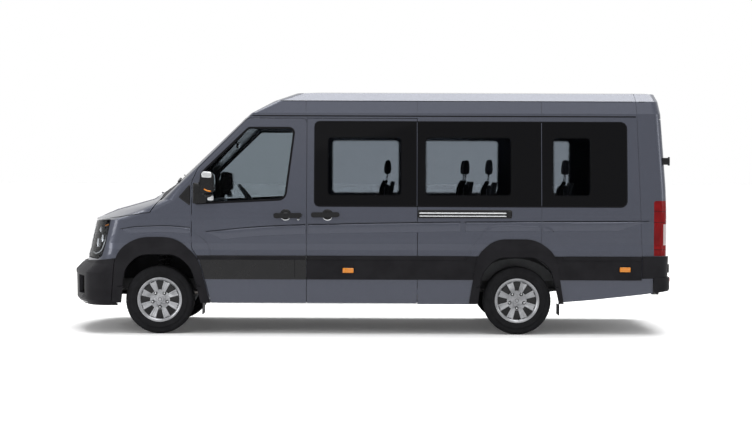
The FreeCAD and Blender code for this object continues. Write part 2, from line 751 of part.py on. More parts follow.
RIM_PROFILE = (
    ("0 - rim_width / 2", "rim_radius - 4"),
    ("0 - rim_width / 2", "rim_radius + 16"),
    ("0 - rim_width / 2 + 10", "rim_radius + 16"),
    ("0 - rim_width / 2 + 12", "rim_radius"),
    ("0 - rim_width / 2 + 45", "rim_radius - 2"),
    ("0 - rim_width / 2 + 58", "rim_radius - 22"),
    ("rim_width / 2 - 58", "rim_radius - 22"),
    ("rim_width / 2 - 45", "rim_radius - 2"),
    ("rim_width / 2 - 12", "rim_radius"),
    ("rim_width / 2 - 10", "rim_radius + 16"),
    ("rim_width / 2", "rim_radius + 16"),
    ("rim_width / 2", "rim_radius + 4"),
    ("rim_width / 2 - 20", "rim_radius - 14"),
    ("rim_width / 2 - 30", "rim_radius / 2 + 28"),
    ("rim_width / 2 - 42", "nut_circle / 2 + 16"),
    ("rim_width / 2 - 40", "hub_bore + 12"),
    ("rim_width / 2 - 26", "hub_bore + 2"),
    ("rim_width / 2 - 24", "0"),
    ("rim_width / 2 - 64", "0"),
    ("rim_width / 2 - 64", "nut_circle / 2 + 20"),
    ("rim_width / 2 - 50", "rim_radius / 2 + 32"),
    ("rim_width / 2 - 44", "rim_radius - 22 - rim_wall"),
    ("0 - rim_width / 2 + 60", "rim_radius - 22 - rim_wall"),
    ("0 - rim_width / 2 + 46", "rim_radius - 4 - rim_wall"),
    ("0 - rim_width / 2 + 12", "rim_radius - rim_wall"),
)
TYRE_PROFILE = (
    ("rim_width / 2 - 12.4", "rim_radius + 0.4"),
    ("rim_width / 2 - 10.4", "rim_radius + 16.4"),
    ("rim_width / 2 + 3", "rim_radius + 16.4"),
    ("tyre_width / 2 - 4", "rim_radius + 44"),
    ("tyre_width / 2", "rim_radius + 72"),
    ("tyre_width / 2 - 4", "tyre_radius - 34"),
    ("tyre_width / 2 - 13", "tyre_radius - 12"),
    ("tyre_width / 2 - 25", "tyre_radius - 3"),
    ("tyre_width / 2 - 50", "tyre_radius"),
)


def revolved(body, sketch):
    turn = body.newObject("PartDesign::Revolution", "Turned")
    turn.Profile = sketch
    turn.ReferenceAxis = (sketch, ["H_Axis"])
    turn.Angle = 360
    return turn


def road_wheel(label):
    """Alloy wheel about its own Y axis, dished side outward at +Y."""
    body = new_body(label)
    profile = sketch_outline(body, "Section", "YZ_Plane", RIM_PROFILE)
    turn = revolved(body, profile)
    doc.recompute()
    window = sketch_outline(body, "Window", "XZ_Plane", (
        ("0 - 6", "nut_circle / 2 + 42"),
        ("6", "nut_circle / 2 + 42"),
        ("34", "rim_radius - 44"),
        ("20", "rim_radius - 36"),
        ("0 - 20", "rim_radius - 36"),
        ("0 - 34", "rim_radius - 44"),
    ))
    pocket = body.newObject("PartDesign::Pocket", "WindowCut")
    pocket.Profile = window
    pocket.setExpression("Length", link("rim_width"))
    pocket.Reversed = False
    pattern = body.newObject("PartDesign::PolarPattern", "Windows")
    pattern.Originals = [pocket]
    pattern.Axis = (plane_of(body, "Y_Axis"), [""])
    pattern.Angle = 360
    pattern.setExpression("Occurrences", link("spoke_count"))
    body.Tip = pattern
    return body, turn


def tyre(label):
    body = new_body(label)
    outer_half = [(across, up) for across, up in TYRE_PROFILE]
    inner_half = [("0 - ( %s )" % across, up) for across, up in reversed(TYRE_PROFILE)]
    profile = sketch_outline(body, "Section", "YZ_Plane", outer_half + inner_half)
    revolved(body, profile)
    return body


half_track = "wheel_track / 2"
half_turn = FreeCAD.Rotation(V(0, 0, 1), 180)
for axle in ("front", "rear"):
    for name, side in SIDES:
        rotation = half_turn if side < 0 else FreeCAD.Rotation()
        across = half_track if side > 0 else "0 - " + half_track
        corner = "%s_%s" % (axle, name)
        wheel, turned = road_wheel("wheel_" + corner)
        placed(wheel, axle + "_axle", across, "tyre_radius", rotation)
        placed(tyre("tyre_" + corner), axle + "_axle", across, "tyre_radius", rotation)

# ---- front suspension: double wishbones, coil springs and steered knuckles ----

arm_parts = []
for name, side in SIDES:
    sign = "" if side > 0 else "0 - "
    arm_y = sign + "( rail_centre + rail_width / 2 + kingpin ) / 2"
    arm_span = "kingpin - rail_centre - rail_width / 2"
    for level, z in (("lower", "tyre_radius - 146"), ("upper", "tyre_radius + 124")):
        arm = bound_box("%s_arm_%s" % (level, name), "90", arm_span, "20", "front_axle - 45", arm_y, z)
        ball = bound_cylinder("%s_ball_%s" % (level, name), "34", "20", "front_axle", sign + "kingpin", z)
        arm_parts += [arm, ball]
    arm_parts.append(bound_cylinder(
        "coil_" + name, "52", "floor_top - tyre_radius + 130", "front_axle", sign + "( kingpin - 158 )", "tyre_radius - 126"))
    arm_parts.append(bound_box(
        "tower_" + name, "150", "kingpin - 90 - rail_centre", "90", "front_axle - 75",
        sign + "( kingpin - 90 + rail_centre ) / 2", "floor_top - floor_wall"))
arm_parts.append(bound_box(
    "cross_beam", "160", "rail_centre * 2 + rail_width", "90", "front_axle - 80", "0", "tyre_radius - 160"))
for name, side in SIDES:
    sign = "" if side > 0 else "0 - "
    arm_parts.append(bound_box(
        "beam_leg_" + name, "120", "rail_width", "floor_top - floor_wall - rail_depth - tyre_radius + 120",
        "front_axle - 60", sign + "rail_centre", "tyre_radius - 120"))
nodes.append(fused("front_suspension", arm_parts))

for name, side in SIDES:
    sign = "" if side > 0 else "0 - "
    pin_y = sign + "kingpin"
    upright = bound_cylinder(
        "upright_" + name, "24", "250 - 0.6", "front_axle", pin_y, "tyre_radius - 126 + 0.3")
    start = "kingpin" if side > 0 else "0 - wheel_track / 2 - rim_width / 2 + 64 + 0.3"
    spindle = bound_cylinder(
        "spindle_" + name, "30", "wheel_track / 2 + rim_width / 2 - 64 - 0.3 - kingpin",
        "front_axle", start, "tyre_radius", "y")
    track_arm = bound_box(
        "track_arm_" + name, "120", "26", "24", "front_axle", sign + "( kingpin - 10 )", "tyre_radius - 60")
    knuckle = fused("knuckle_" + name, [upright, spindle, track_arm])
    nodes.append(knuckle)

# ---- rear beam axle on leaf springs ----

beam_y = "0 - wheel_track / 2 - rim_width / 2 + 64 + 0.3"
beam = bound_cylinder(
    "beam", "46", "wheel_track + rim_width - 128 - 0.6", "rear_axle", beam_y, "tyre_radius", "y")
rear_parts = [beam]
for name, side in SIDES:
    sign = "" if side > 0 else "0 - "
    start = "wheel_track / 2 - 80" if side > 0 else "0 - wheel_track / 2 + 30"
    rear_parts.append(bound_cylinder("drum_" + name, "disc_radius", "50", "rear_axle", start, "tyre_radius", "y"))
nodes.append(fused("rear_axle_beam", rear_parts))


def leaf_spring(side):
    """Two curved leaves whose eyes hang from hangers on the frame rail."""
    centre_y = side * (size("rail_centre") + size("rail_width") / 2 + 45)
    middle_z = size("tyre_radius") + 46.3
    rise = 62
    leaves = []
    for half_span, lift in ((640, 0), (430, 14.3)):
        drop = rise * (half_span / 640) ** 2
        bow = (half_span ** 2 + drop ** 2) / (2 * drop)
        centre = V(rear_axle, 0, middle_z + lift + bow)
        disc = Part.makeCylinder(bow, 70, V(centre.x, centre_y - 35, centre.z), V(0, 1, 0))
        core = Part.makeCylinder(bow - 14, 72, V(centre.x, centre_y - 36, centre.z), V(0, 1, 0))
        zone = block(rear_axle - half_span, rear_axle + half_span, -1400, 1400, 0, middle_z + lift + drop + 14)
        leaves.append(disc.cut(core).common(zone))
    rail_side = side * (size("rail_centre") + size("rail_width") / 2)
    for end in (-1, 1):
        x = rear_axle + end * 610
        y0, y1 = sorted((rail_side, side * (abs(rail_side) + 80)))
        leaves.append(block(x - 25, x + 25, y0, y1, middle_z + rise, size("floor_top") - size("floor_wall")))
    whole = leaves[0]
    for piece in leaves[1:]:
        whole = whole.fuse(piece)
    return whole


for name, side in SIDES:
    add_shape("leaf_spring_" + name, leaf_spring(side))

# ---- ladder frame, floor and wheel housings ----

RAIL_FRONT = -3094
RAIL_REAR = 3149
RADIATOR_STATION = -2895
CROSSMEMBERS = (-2945, -1500, -400, 820, 2260, 3040)
rail_z = "floor_top - floor_wall - rail_depth"
frame_parts = []
for name, side in SIDES:
    sign = "" if side > 0 else "0 - "
    rail_y = sign + "rail_centre"
    rail = bound_box(
        "rail_" + name, str(RAIL_REAR - RAIL_FRONT), "rail_width", "rail_depth", str(RAIL_FRONT), rail_y, rail_z)
    eye = bound_box("eye_" + name, "80", "eye_wall", "60", "3050", rail_y, rail_z + " - 50")
    hole = bound_cylinder(
        "eye_hole_" + name, "tow_bore", "eye_wall + 10", "3090", rail_y + " - eye_wall / 2 - 5", rail_z + " - 24", "y")
    frame_parts.append(cut_from("eyed_rail_" + name, fused("bare_rail_" + name, [rail, eye]), hole))
for number, station in enumerate(CROSSMEMBERS):
    frame_parts.append(bound_box(
        "crossmember_%d" % number, "90", "rail_centre * 2 - rail_width - 0.6", "90", str(station), "0",
        rail_z + " + 20"))
nodes.append(grouped("frame_rails", frame_parts))

FLOOR_FRONT = -1690
FLOOR_REAR = 2945
SILL_REAR = 3105
HOUSING_RADIUS = 462
HOUSING_SKIN = 8
floor_z = "floor_top - floor_wall"
slab = bound_box(
    "floor_slab", str(FLOOR_REAR - FLOOR_FRONT), "floor_half * 2", "floor_wall", str(FLOOR_FRONT), "0", floor_z)
sill_plate = bound_box(
    "floor_sill", str(SILL_REAR - FLOOR_REAR + 20), "rear_door_half * 2 - 120", "floor_wall", str(FLOOR_REAR - 20), "0", floor_z)
housing_shells = [slab, sill_plate]
housing_holes = []
for name, side in SIDES:
    inner = "wheel_track / 2 - tyre_width / 2 - 50"
    depth = "floor_half - wheel_track / 2 + tyre_width / 2 + 50"
    start = inner if side > 0 else "0 - floor_half"
    drum = bound_cylinder("housing_" + name, str(HOUSING_RADIUS), depth, "rear_axle", start, "tyre_radius + 30", "y")
    hole_start = "( %s ) + %d" % (inner, HOUSING_SKIN) if side > 0 else "0 - floor_half - 20"
    hole = bound_cylinder(
        "housing_hole_" + name, str(HOUSING_RADIUS - HOUSING_SKIN), "( %s ) + 20 - %d" % (depth, HOUSING_SKIN),
        "rear_axle", hole_start, "tyre_radius + 30", "y")
    housing_shells.append(drum)
    housing_holes.append(hole)
below = bound_box(
    "below_floor", "1200", "floor_half * 2 + 100", "700", "rear_axle - 600", "0", "floor_top - floor_wall - 700")
floor_skin = cut_from("floor_skin", fused("floor_solid", housing_shells), fused("floor_holes", housing_holes + [below]))
floor_skin.Label = "floor"
nodes.append(floor_skin)

liners = []
for name, side in SIDES:
    start = "560" if side > 0 else "0 - 966.3"
    shell_part = bound_cylinder("liner_" + name, "520", "406.3", "front_axle", start, "tyre_radius + 14", "y")
    core = bound_cylinder("liner_core_" + name, "514", "440", "front_axle", start + " - 10", "tyre_radius + 14", "y")
    under = bound_box(
        "liner_under_" + name, "1100", "460", "600", "front_axle - 550", "770" if side > 0 else "0 - 770",
        "floor_top - 800")
    hollow = cut_from("liner_shell_" + name, shell_part, fused("liner_cut_" + name, [core, under]))
    liners.append(hollow)
nodes.append(grouped("wheel_liners", liners))

# ---- engine, cooling pack, exhaust and tank ----

engine = new_body("engine")
engine_side = sketch_outline(engine, "EngineSide", "XZ_Plane", (
    ("0 - 260", "40"),
    ("0 - 180", "0 - 60"),
    ("200", "0 - 60"),
    ("280", "40"),
    ("280", "420"),
    ("180", "520"),
    ("0 - 180", "500"),
    ("0 - 260", "400"),
))
engine_pad = engine.newObject("PartDesign::Pad", "EngineBlock")
engine_pad.Profile = engine_side
engine_pad.setExpression("Length", link("rail_centre * 2 - rail_width - 120"))
engine_pad.Midplane = True
placed(engine, "front_axle - 380", "0", "tyre_radius + 110")
mounts = []
for name, side in SIDES:
    sign = "" if side > 0 else "0 - "
    mounts.append(bound_box(
        "engine_mount_" + name, "90", "60", "60", "front_axle - 420",
        sign + "( rail_centre - rail_width / 2 - 30 )", "floor_top - floor_wall - 90"))
nodes.append(grouped("engine_mounts", mounts))

radiator = bound_box("radiator", "60", "rail_centre * 2 + rail_width - 100", "500", str(RADIATOR_STATION), "0",
    "floor_top - floor_wall")
nodes.append(radiator)

tank = doc.addObject("Part::Fillet", "fuel_tank")
tank_block = bound_box("tank_block", "900", "360", "230", "-1330", "-210", "floor_top - floor_wall - 230.3")
doc.recompute()
tank.Base = tank_block
tank.Edges = [(i, 30, 30) for i in (1, 3, 5, 7)]
nodes.append(tank)


def pipe_run(points, radius, bend):
    """Tube along straight runs in plan view, with tangent bends, at a constant height."""
    spine = rounded_open([(p[0], p[1]) for p in points], bend)
    spine.translate(V(0, 0, points[0][2]))
    start = spine.Edges[0].valueAt(spine.Edges[0].FirstParameter)
    ring = Part.Wire(Part.makeCircle(radius, start, spine.Edges[0].tangentAt(spine.Edges[0].FirstParameter)))
    return spine.makePipeShell([ring], True, True)


def rounded_open(points, bend):
    corners = [V(p[0], p[1], 0) for p in points]
    edges = []
    start = corners[0]
    for before, here, after in zip(corners, corners[1:], corners[2:]):
        back = (before - here).normalize()
        on = (after - here).normalize()
        half = back.getAngle(on) / 2
        run = bend / math.tan(half)
        centre = here + (back + on).normalize() * (bend / math.sin(half))
        edges.append(Part.makeLine(start, here + back * run))
        middle = centre + (here - centre).normalize() * bend
        edges.append(Part.Arc(here + back * run, middle, here + on * run).toShape())
        start = here + on * run
    edges.append(Part.makeLine(start, corners[-1]))
    return Part.Wire(edges)


EXHAUST_HEIGHT = 377.5
MUFFLER_START = 60
MUFFLER_LENGTH = 620
front_pipe = pipe_run([(-2480, -150, EXHAUST_HEIGHT), (-1900, -150, 0), (-1550, 180, 0), (MUFFLER_START + 5, 180, 0)], 28, 180)
muffler = Part.makeCylinder(92, MUFFLER_LENGTH, V(MUFFLER_START, 180, EXHAUST_HEIGHT - 20), V(1, 0, 0))
tail = pipe_run([(MUFFLER_START + MUFFLER_LENGTH - 5, 180, EXHAUST_HEIGHT), (830, 180, 0), (1010, 420, 0), (1010, 900, 0)], 28, 90)
floor_low = size("floor_top") - size("floor_wall")
beam_low = floor_low - size("rail_depth") + 20
hangers = [
    block(-370, -340, 165, 195, EXHAUST_HEIGHT, beam_low - 0.3),
    block(355, 385, 165, 195, EXHAUST_HEIGHT, floor_low - 0.3),
]
add_shape("exhaust", front_pipe.fuse([muffler, tail] + hangers))

# ---- dashboard and steering wheel ----

DASH_HALF = 925
dash_points = [
    (-1960, 1000, 40),
    (-1660, 900, 60),
    (-1560, 1060, 60),
    (-1600, 1250, 50),
    (-1740, 1330, 60),
    (-1985, 1360, 40),
]
dashboard = side_prism(dash_points, -DASH_HALF, DASH_HALF)
console = block(-1800, -1560, -170, 170, size("floor_top"), 1000)
add_shape("dashboard", dashboard.fuse(console))

DRIVER_Y = 430
STEERING_LEAN = 52
column_foot = V(-1620, DRIVER_Y, 1200)
column_way = V(math.cos(math.radians(90 - STEERING_LEAN)), 0, math.sin(math.radians(90 - STEERING_LEAN)))
wheel_centre = column_foot + column_way * 330
ring = Part.makeTorus(182, 15, wheel_centre, column_way)
hub = Part.makeCylinder(55, 45, wheel_centre - column_way * 30, column_way)
spokes = []
for turn in (0, 130, 230):
    spoke = Part.makeBox(180, 36, 14, V(0, -18, -7))
    spoke.rotate(V(0, 0, 0), V(0, 0, 1), turn)
    spoke.Placement = FreeCAD.Placement(wheel_centre, FreeCAD.Rotation(V(0, 0, 1), column_way)).multiply(spoke.Placement)
    spokes.append(spoke)
column = Part.makeCylinder(32, 340, wheel_centre - column_way * 340, column_way)
add_shape("steering_wheel", ring.fuse([hub, column] + spokes).cut(dashboard))

# ---- door fittings ----

MIRROR_LOW = 1364
MIRROR_HIGH = 1600
foot_line = [MIRROR_LOW, size("scuttle_height"), size("cowl_height"), MIRROR_HIGH]
foot_section = [(-half_at(z) - 0.3, z) for z in foot_line] + [(-1085, MIRROR_HIGH), (-1085, MIRROR_LOW)]
mirror_foot = end_prism(foot_section, -1812, -1690).common(side_prism([
    (-1812, MIRROR_LOW, 12), (-1690, 1374, 20), (-1690, 1560, 30), (-1735, MIRROR_HIGH, 30), (-1800, 1500, 20)],
    -1085, -960))
mirror_head = side_prism([
    (-1750, 1470, 35), (-1600, 1480, 40), (-1605, 1690, 50), (-1738, 1704, 40)], -1240, -1050)
front_handle = side_prism([
    (-992, 1216, 22), (-700, 1220, 22), (-700, 1272, 22), (-992, 1268, 22)], -1064, -960)
fittings = [mirror_foot.fuse(mirror_head), front_handle.cut(outer), door_band]
add_pair("door_fittings", Part.makeCompound(fittings))

slide_rail = side_prism([(520, 1222, 6), (1496, 1222, 6), (1496, 1300, 6), (520, 1300, 6)], -1034, -960)
sliding_handle = side_prism([
    (-600, 1226, 22), (-308, 1230, 22), (-308, 1282, 22), (-600, 1278, 22)], -1064, -960)
add_shape("slide_rail", Part.makeCompound([slide_rail.cut(outer), sliding_handle.cut(outer)]))

# ---- seats and their legs ----

# Seat profile as (distance behind the cushion's front, height above its top, radius).
SEAT = (
    (0, -115, 40), (0, 0, 40), (395, -20, 60), (475, 560, 20), (478, 610, 10),
    (505, 815, 30), (580, 820, 35), (598, 620, 20), (608, 560, 40), (520, -115, 60),
)
BACK_REACH = 540
seat_base = size("seat_base")
seat_width = size("seat_width")


def seat(back_station, across):
    start = back_station - BACK_REACH
    points = [(start + p[0], seat_base + p[1], p[2]) for p in SEAT]
    return side_prism(points, across - seat_width / 2, across + seat_width / 2)


def legs(back_station, across):
    start = back_station - BACK_REACH
    posts = []
    for x in (start + 70, start + 380):
        posts.append(block(x, x + 40, across - 25, across + 25, size("floor_top"), seat_base - 115.3))
    return posts


# Rows: name, station of the first back, pitch, number of rows, seat centres, leg centres.
ROWS = (
    ("front_seats", -710, 0, 1, (-650, -200, 430), (-650, -200, 430)),
    ("left_seats", 1275, 814, 3, (-660,), (-640,)),
    ("right_seats", 203, 874, 4, (215, 660), (215, 640)),
)
leg_parts = []
for label, first, pitch, count, centres, feet in ROWS:
    seats = []
    for i in range(count):
        station = first + i * pitch
        seats += [seat(station, across) for across in centres]
        for foot in feet:
            leg_parts += legs(station, foot)
    add_shape(label, Part.makeCompound(seats))
add_shape("seat_legs", Part.makeCompound(leg_parts))

# ---- check and write ----

doc.recompute()
for feature in doc.Objects:
    if "Invalid" in feature.State or "Error" in feature.State:
        raise RuntimeError("%s did not compute" % feature.Name)
os.makedirs("parts", exist_ok=True)
for feature in nodes:
    if feature.Shape.isNull() or not feature.Shape.isValid() or not feature.Shape.Solids:
        raise RuntimeError("%s has no valid shape" % feature.Label)
    feature.Shape.exportStep("parts/%s.step" % feature.Label)
    print("%-24s %2d solids, %.5f m3" % (feature.Label, len(feature.Shape.Solids), feature.Shape.Volume / 1e9))
print(len(nodes), "nodes")
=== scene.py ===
import json
import math

import bpy
import numpy as np
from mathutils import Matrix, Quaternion, Vector
from mathutils.bvhtree import BVHTree
from mathutils.geometry import convex_hull_2d

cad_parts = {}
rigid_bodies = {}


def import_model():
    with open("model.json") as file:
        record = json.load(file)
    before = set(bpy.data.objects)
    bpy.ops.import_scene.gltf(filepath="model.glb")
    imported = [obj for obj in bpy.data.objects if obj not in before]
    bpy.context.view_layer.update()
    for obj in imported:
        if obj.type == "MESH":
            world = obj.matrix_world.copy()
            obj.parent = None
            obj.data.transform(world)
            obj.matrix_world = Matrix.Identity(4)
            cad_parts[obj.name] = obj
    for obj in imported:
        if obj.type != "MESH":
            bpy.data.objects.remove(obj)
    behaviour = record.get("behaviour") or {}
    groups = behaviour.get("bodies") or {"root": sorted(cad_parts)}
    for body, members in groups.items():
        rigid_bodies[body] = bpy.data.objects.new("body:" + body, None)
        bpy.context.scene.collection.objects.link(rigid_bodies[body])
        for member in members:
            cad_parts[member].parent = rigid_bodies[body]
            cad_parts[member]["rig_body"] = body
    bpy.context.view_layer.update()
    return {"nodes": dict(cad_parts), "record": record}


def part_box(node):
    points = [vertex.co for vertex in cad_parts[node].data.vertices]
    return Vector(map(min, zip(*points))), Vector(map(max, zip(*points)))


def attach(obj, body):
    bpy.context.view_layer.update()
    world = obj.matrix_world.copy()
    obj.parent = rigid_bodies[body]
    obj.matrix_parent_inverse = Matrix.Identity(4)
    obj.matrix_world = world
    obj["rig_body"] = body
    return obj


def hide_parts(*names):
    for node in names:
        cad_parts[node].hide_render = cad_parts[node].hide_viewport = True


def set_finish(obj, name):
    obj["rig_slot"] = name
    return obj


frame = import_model()
print("minibus frame loaded")


# Surfaces: every piece is a grid of points, rows by columns, made with whole arrays.

def newPiece(name, points, faces, finish, smooth=True, body="body", slot=None):
    # a mesh object that rides on a body and takes its finish from a slot
    mesh = bpy.data.meshes.new(name)
    mesh.from_pydata([tuple(p) for p in np.asarray(points, float)], [], [tuple(int(i) for i in f) for f in faces])
    mesh.polygons.foreach_set("use_smooth", [smooth] * len(mesh.polygons))
    mesh.materials.append(finish)
    mesh.update()
    piece = bpy.data.objects.new(name, mesh)
    bpy.context.scene.collection.objects.link(piece)
    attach(piece, body)
    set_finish(piece, slot or usualSlot[finish.name])
    return piece


def gridFaces(rows, columns, wrapRows=False, wrapColumns=True, start=0):
    # quads between neighbouring rows and columns, wrapped round where asked
    i, j = np.meshgrid(np.arange(rows if wrapRows else rows - 1),
                       np.arange(columns if wrapColumns else columns - 1), indexing="ij")
    i, j = i.ravel(), j.ravel()
    below, beside = (i + 1) % rows, (j + 1) % columns
    corners = np.stack([i * columns + j, i * columns + beside, below * columns + beside, below * columns + j], 1)
    return (corners + start).tolist()


def outward(piece):
    # turns the faces of a closed surface so that its signed volume is positive
    mesh = piece.data
    mesh.calc_loop_triangles()
    at = np.empty(len(mesh.vertices) * 3)
    mesh.vertices.foreach_get("co", at)
    at = at.reshape(-1, 3)
    corners = np.empty(len(mesh.loop_triangles) * 3, int)
    mesh.loop_triangles.foreach_get("vertices", corners)
    a, b, c = (at[corners.reshape(-1, 3)[:, k]] for k in range(3))
    volume = np.einsum("ij,ij->i", a - at.mean(0), np.cross(b - at.mean(0), c - at.mean(0))).sum()
    if volume < 0:
        mesh.flip_normals()
    return piece


def closedGrid(name, grid, finish, wrapRows=False, smooth=True, body="body", slot=None):
    # rows of closed rings; open ends are closed by one face each
    grid = np.asarray(grid, float)
    rows, columns = grid.shape[:2]
    faces = gridFaces(rows, columns, wrapRows)
    if not wrapRows:
        faces.append(list(range(columns)))
        faces.append([(rows - 1) * columns + k for k in reversed(range(columns))])
    return outward(newPiece(name, grid.reshape(-1, 3), faces, finish, smooth, body=body, slot=slot))


def joined(name, pieces):
    # one object from several that share a body and a slot
    points, faces, finishIndex, finishes, start = [], [], [], [], 0
    for piece in pieces:
        mesh = piece.data
        at = np.empty(len(mesh.vertices) * 3)
        mesh.vertices.foreach_get("co", at)
        points.append(at.reshape(-1, 3))
        if mesh.materials[0] not in finishes:
            finishes.append(mesh.materials[0])
        for polygon in mesh.polygons:
            faces.append([v + start for v in polygon.vertices])
            finishIndex.append(finishes.index(mesh.materials[0]))
        start += len(mesh.vertices)
    body, slot = pieces[0]["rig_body"], pieces[0]["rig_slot"]
    smooth = pieces[0].data.polygons[0].use_smooth
    whole = bpy.data.meshes.new(name)
    whole.from_pydata([tuple(p) for p in np.concatenate(points)], [], faces)
    for finish in finishes:
        whole.materials.append(finish)
    whole.polygons.foreach_set("material_index", finishIndex)
    whole.polygons.foreach_set("use_smooth", [smooth] * len(faces))
    whole.update()
    for piece in pieces:
        bpy.data.objects.remove(piece)
    result = bpy.data.objects.new(name, whole)
    bpy.context.scene.collection.objects.link(result)
    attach(result, body)
    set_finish(result, slot)
    return result


def roundedOutline(corners, count=96):
    # Each corner (across, up, radius) becomes an arc that leaves its two edges tangentially. The
    # closed line is then resampled at even steps.
    corners = [np.array(c, float) for c in corners]
    line = []
    for i, here in enumerate(corners):
        before, after = corners[i - 1][:2], corners[(i + 1) % len(corners)][:2]
        back, on = before - here[:2], after - here[:2]
        backLength, onLength = np.linalg.norm(back), np.linalg.norm(on)
        back, on = back / backLength, on / onLength
        half = math.acos(np.clip(back @ on, -1, 1)) / 2
        run = min(here[2] / math.tan(half), backLength * 0.49, onLength * 0.49) if here[2] > 0 else 0
        if run <= 0:
            line.append(here[:2])
            continue
        steps = np.linspace(0, 1, 9)[:, None]
        first, last = here[:2] + back * run, here[:2] + on * run
        curve = (1 - steps) ** 2 * first + 2 * steps * (1 - steps) * here[:2] + steps ** 2 * last
        line.extend(curve)
    return evenLine(np.array(line), count, True)


def roundedBox(left, low, right, high, radius, count=96):
    return roundedOutline([(left, low, radius), (right, low, radius), (right, high, radius), (left, high, radius)],
                          count)


def evenLine(line, count, closed=False):
    # points at even distances along a line of straight runs
    line = np.asarray(line, float)
    if closed:
        line = np.vstack([line, line[:1]])
    steps = np.linalg.norm(np.diff(line, axis=0), axis=1)
    reach = np.concatenate([[0], np.cumsum(steps)])
    wanted = np.linspace(0, reach[-1], count + 1)[:-1] if closed else np.linspace(0, reach[-1], count)
    return np.stack([np.interp(wanted, reach, line[:, k]) for k in range(line.shape[1])], 1)


def bentLine(points, radius, count):
    # an open line whose inner corners are rounded by curves of the given reach
    points = [np.array(p, float) for p in points]
    line = [points[0]]
    for before, here, after in zip(points, points[1:], points[2:]):
        back, on = before - here, after - here
        run = min(radius, np.linalg.norm(back) * 0.45, np.linalg.norm(on) * 0.45)
        first, last = here + back / np.linalg.norm(back) * run, here + on / np.linalg.norm(on) * run
        steps = np.linspace(0, 1, 9)[:, None]
        line.extend((1 - steps) ** 2 * first + 2 * steps * (1 - steps) * here + steps ** 2 * last)
    line.append(points[-1])
    return evenLine(np.array(line), count)


# Views: a piece on the skin is drawn in a flat view and dropped onto the CAD surface.

views = {
    "left": {"axes": (0, 2), "away": (0, -1, 0)},
    "right": {"axes": (0, 2), "away": (0, 1, 0)},
    "rear": {"axes": (1, 2), "away": (1, 0, 0)},
    "front": {"axes": (1, 2), "away": (-1, 0, 0)},
    "top": {"axes": (0, 1), "away": (0, 0, 1)},
    "ceiling": {"axes": (0, 1), "away": (0, 0, -1)},
    "insideLeft": {"axes": (0, 2), "away": (0, 1, 0)},
}
skins = {}


def skinOf(nodes):
    # one search tree over the faces of several CAD nodes or pieces
    if nodes not in skins:
        points, faces = [], []
        for node in nodes:
            mesh = (frame["nodes"].get(node) or bpy.data.objects[node]).data
            start = len(points)
            points.extend(v.co.copy() for v in mesh.vertices)
            faces.extend([start + v for v in p.vertices] for p in mesh.polygons)
        skins[nodes] = BVHTree.FromPolygons(points, faces)
    return skins[nodes]


def dropOnto(flat, view, nodes):
    # For each flat point a ray comes in from outside the object. Where it misses, the depth of the nearest point that
    # was hit is taken. Returns the points on the skin.
    away = Vector(views[view]["away"]).normalized()
    axes = views[view]["axes"]
    tree = skinOf(tuple(nodes))
    found = np.full((len(flat), 3), np.nan)
    for i, place in enumerate(flat):
        start = Vector((0, 0, 0))
        start[axes[0]], start[axes[1]] = place
        hit = tree.ray_cast(start + away * 5, -away)[0]
        if hit is not None:
            found[i] = hit
    missed = np.isnan(found[:, 0])
    if missed.all():
        raise ValueError("no skin under the piece")
    if missed.any():
        # a missed point takes its depth from the nearest point that was hit
        known = np.flatnonzero(~missed)
        for i in np.flatnonzero(missed):
            near = known[np.argmin(np.linalg.norm(flat[known] - flat[i], axis=1))]
            found[i] = found[near]
            found[i, list(axes)] = flat[i]
    return found


def spotOn(place, view, nodes):
    return dropOnto(np.array([place]), view, nodes)[0]


def ribbon(name, line, width, proud, view, nodes, finish, closed=False, sink=0.002, flat=False, body="body",
           slot=None):
    # A strip along a line on the skin. Across, its height follows a flattened arch; sink is how
    # far its foot goes into the skin. The widths may differ along the line.
    line = np.asarray(line, float)
    if closed:
        ahead = np.roll(line, -1, 0) - np.roll(line, 1, 0)
    else:
        ahead = np.gradient(line, axis=0)
    side = np.stack([-ahead[:, 1], ahead[:, 0]], 1)
    side /= np.linalg.norm(side, axis=1, keepdims=True)
    width = np.broadcast_to(np.asarray(width, float), (len(line),))[:, None]
    across = np.array([-0.5, -0.5, -0.38, 0.0, 0.38, 0.5, 0.5])
    height = np.array([-sink, proud * 0.45, proud * 0.9, proud, proud * 0.9, proud * 0.45, -sink])
    if flat:
        height = np.array([-sink, proud * 0.8, proud, proud, proud, proud * 0.8, -sink])
    away = np.array(views[view]["away"], float)
    away /= np.linalg.norm(away)
    rings = [dropOnto(line + side * width * a, view, nodes) + away * h for a, h in zip(across, height)]
    grid = np.stack(rings, 1)
    return closedGrid(name, grid, finish, wrapRows=closed, body=body, slot=slot)


def pad(name, outline, proud, view, nodes, finish, rim=0.25, dish=0.0, sink=0.002, rings=9, body="body", slot=None):
    # A filled outline on the skin. From the middle outwards the height stays at proud, lowered by
    # dish at the middle, and falls to the skin within the rim.
    outline = np.asarray(outline, float)
    middle = outline.mean(0)
    reach = np.concatenate([[0.0, 0.03], np.linspace(0.0, 1.0, rings)[1:]])
    grid = []
    away = np.array(views[view]["away"], float)
    away /= np.linalg.norm(away)
    for r in reach[1:]:
        flat = middle + (outline - middle) * r
        height = proud * np.sqrt(max(0.0, 1 - max(0.0, (r - 1 + rim) / rim) ** 2)) - dish * (1 - r ** 2)
        grid.append(dropOnto(flat, view, nodes) + away * height)
    grid.append(dropOnto(outline, view, nodes) - away * sink)
    return closedGrid(name, grid, finish, body=body, slot=slot)


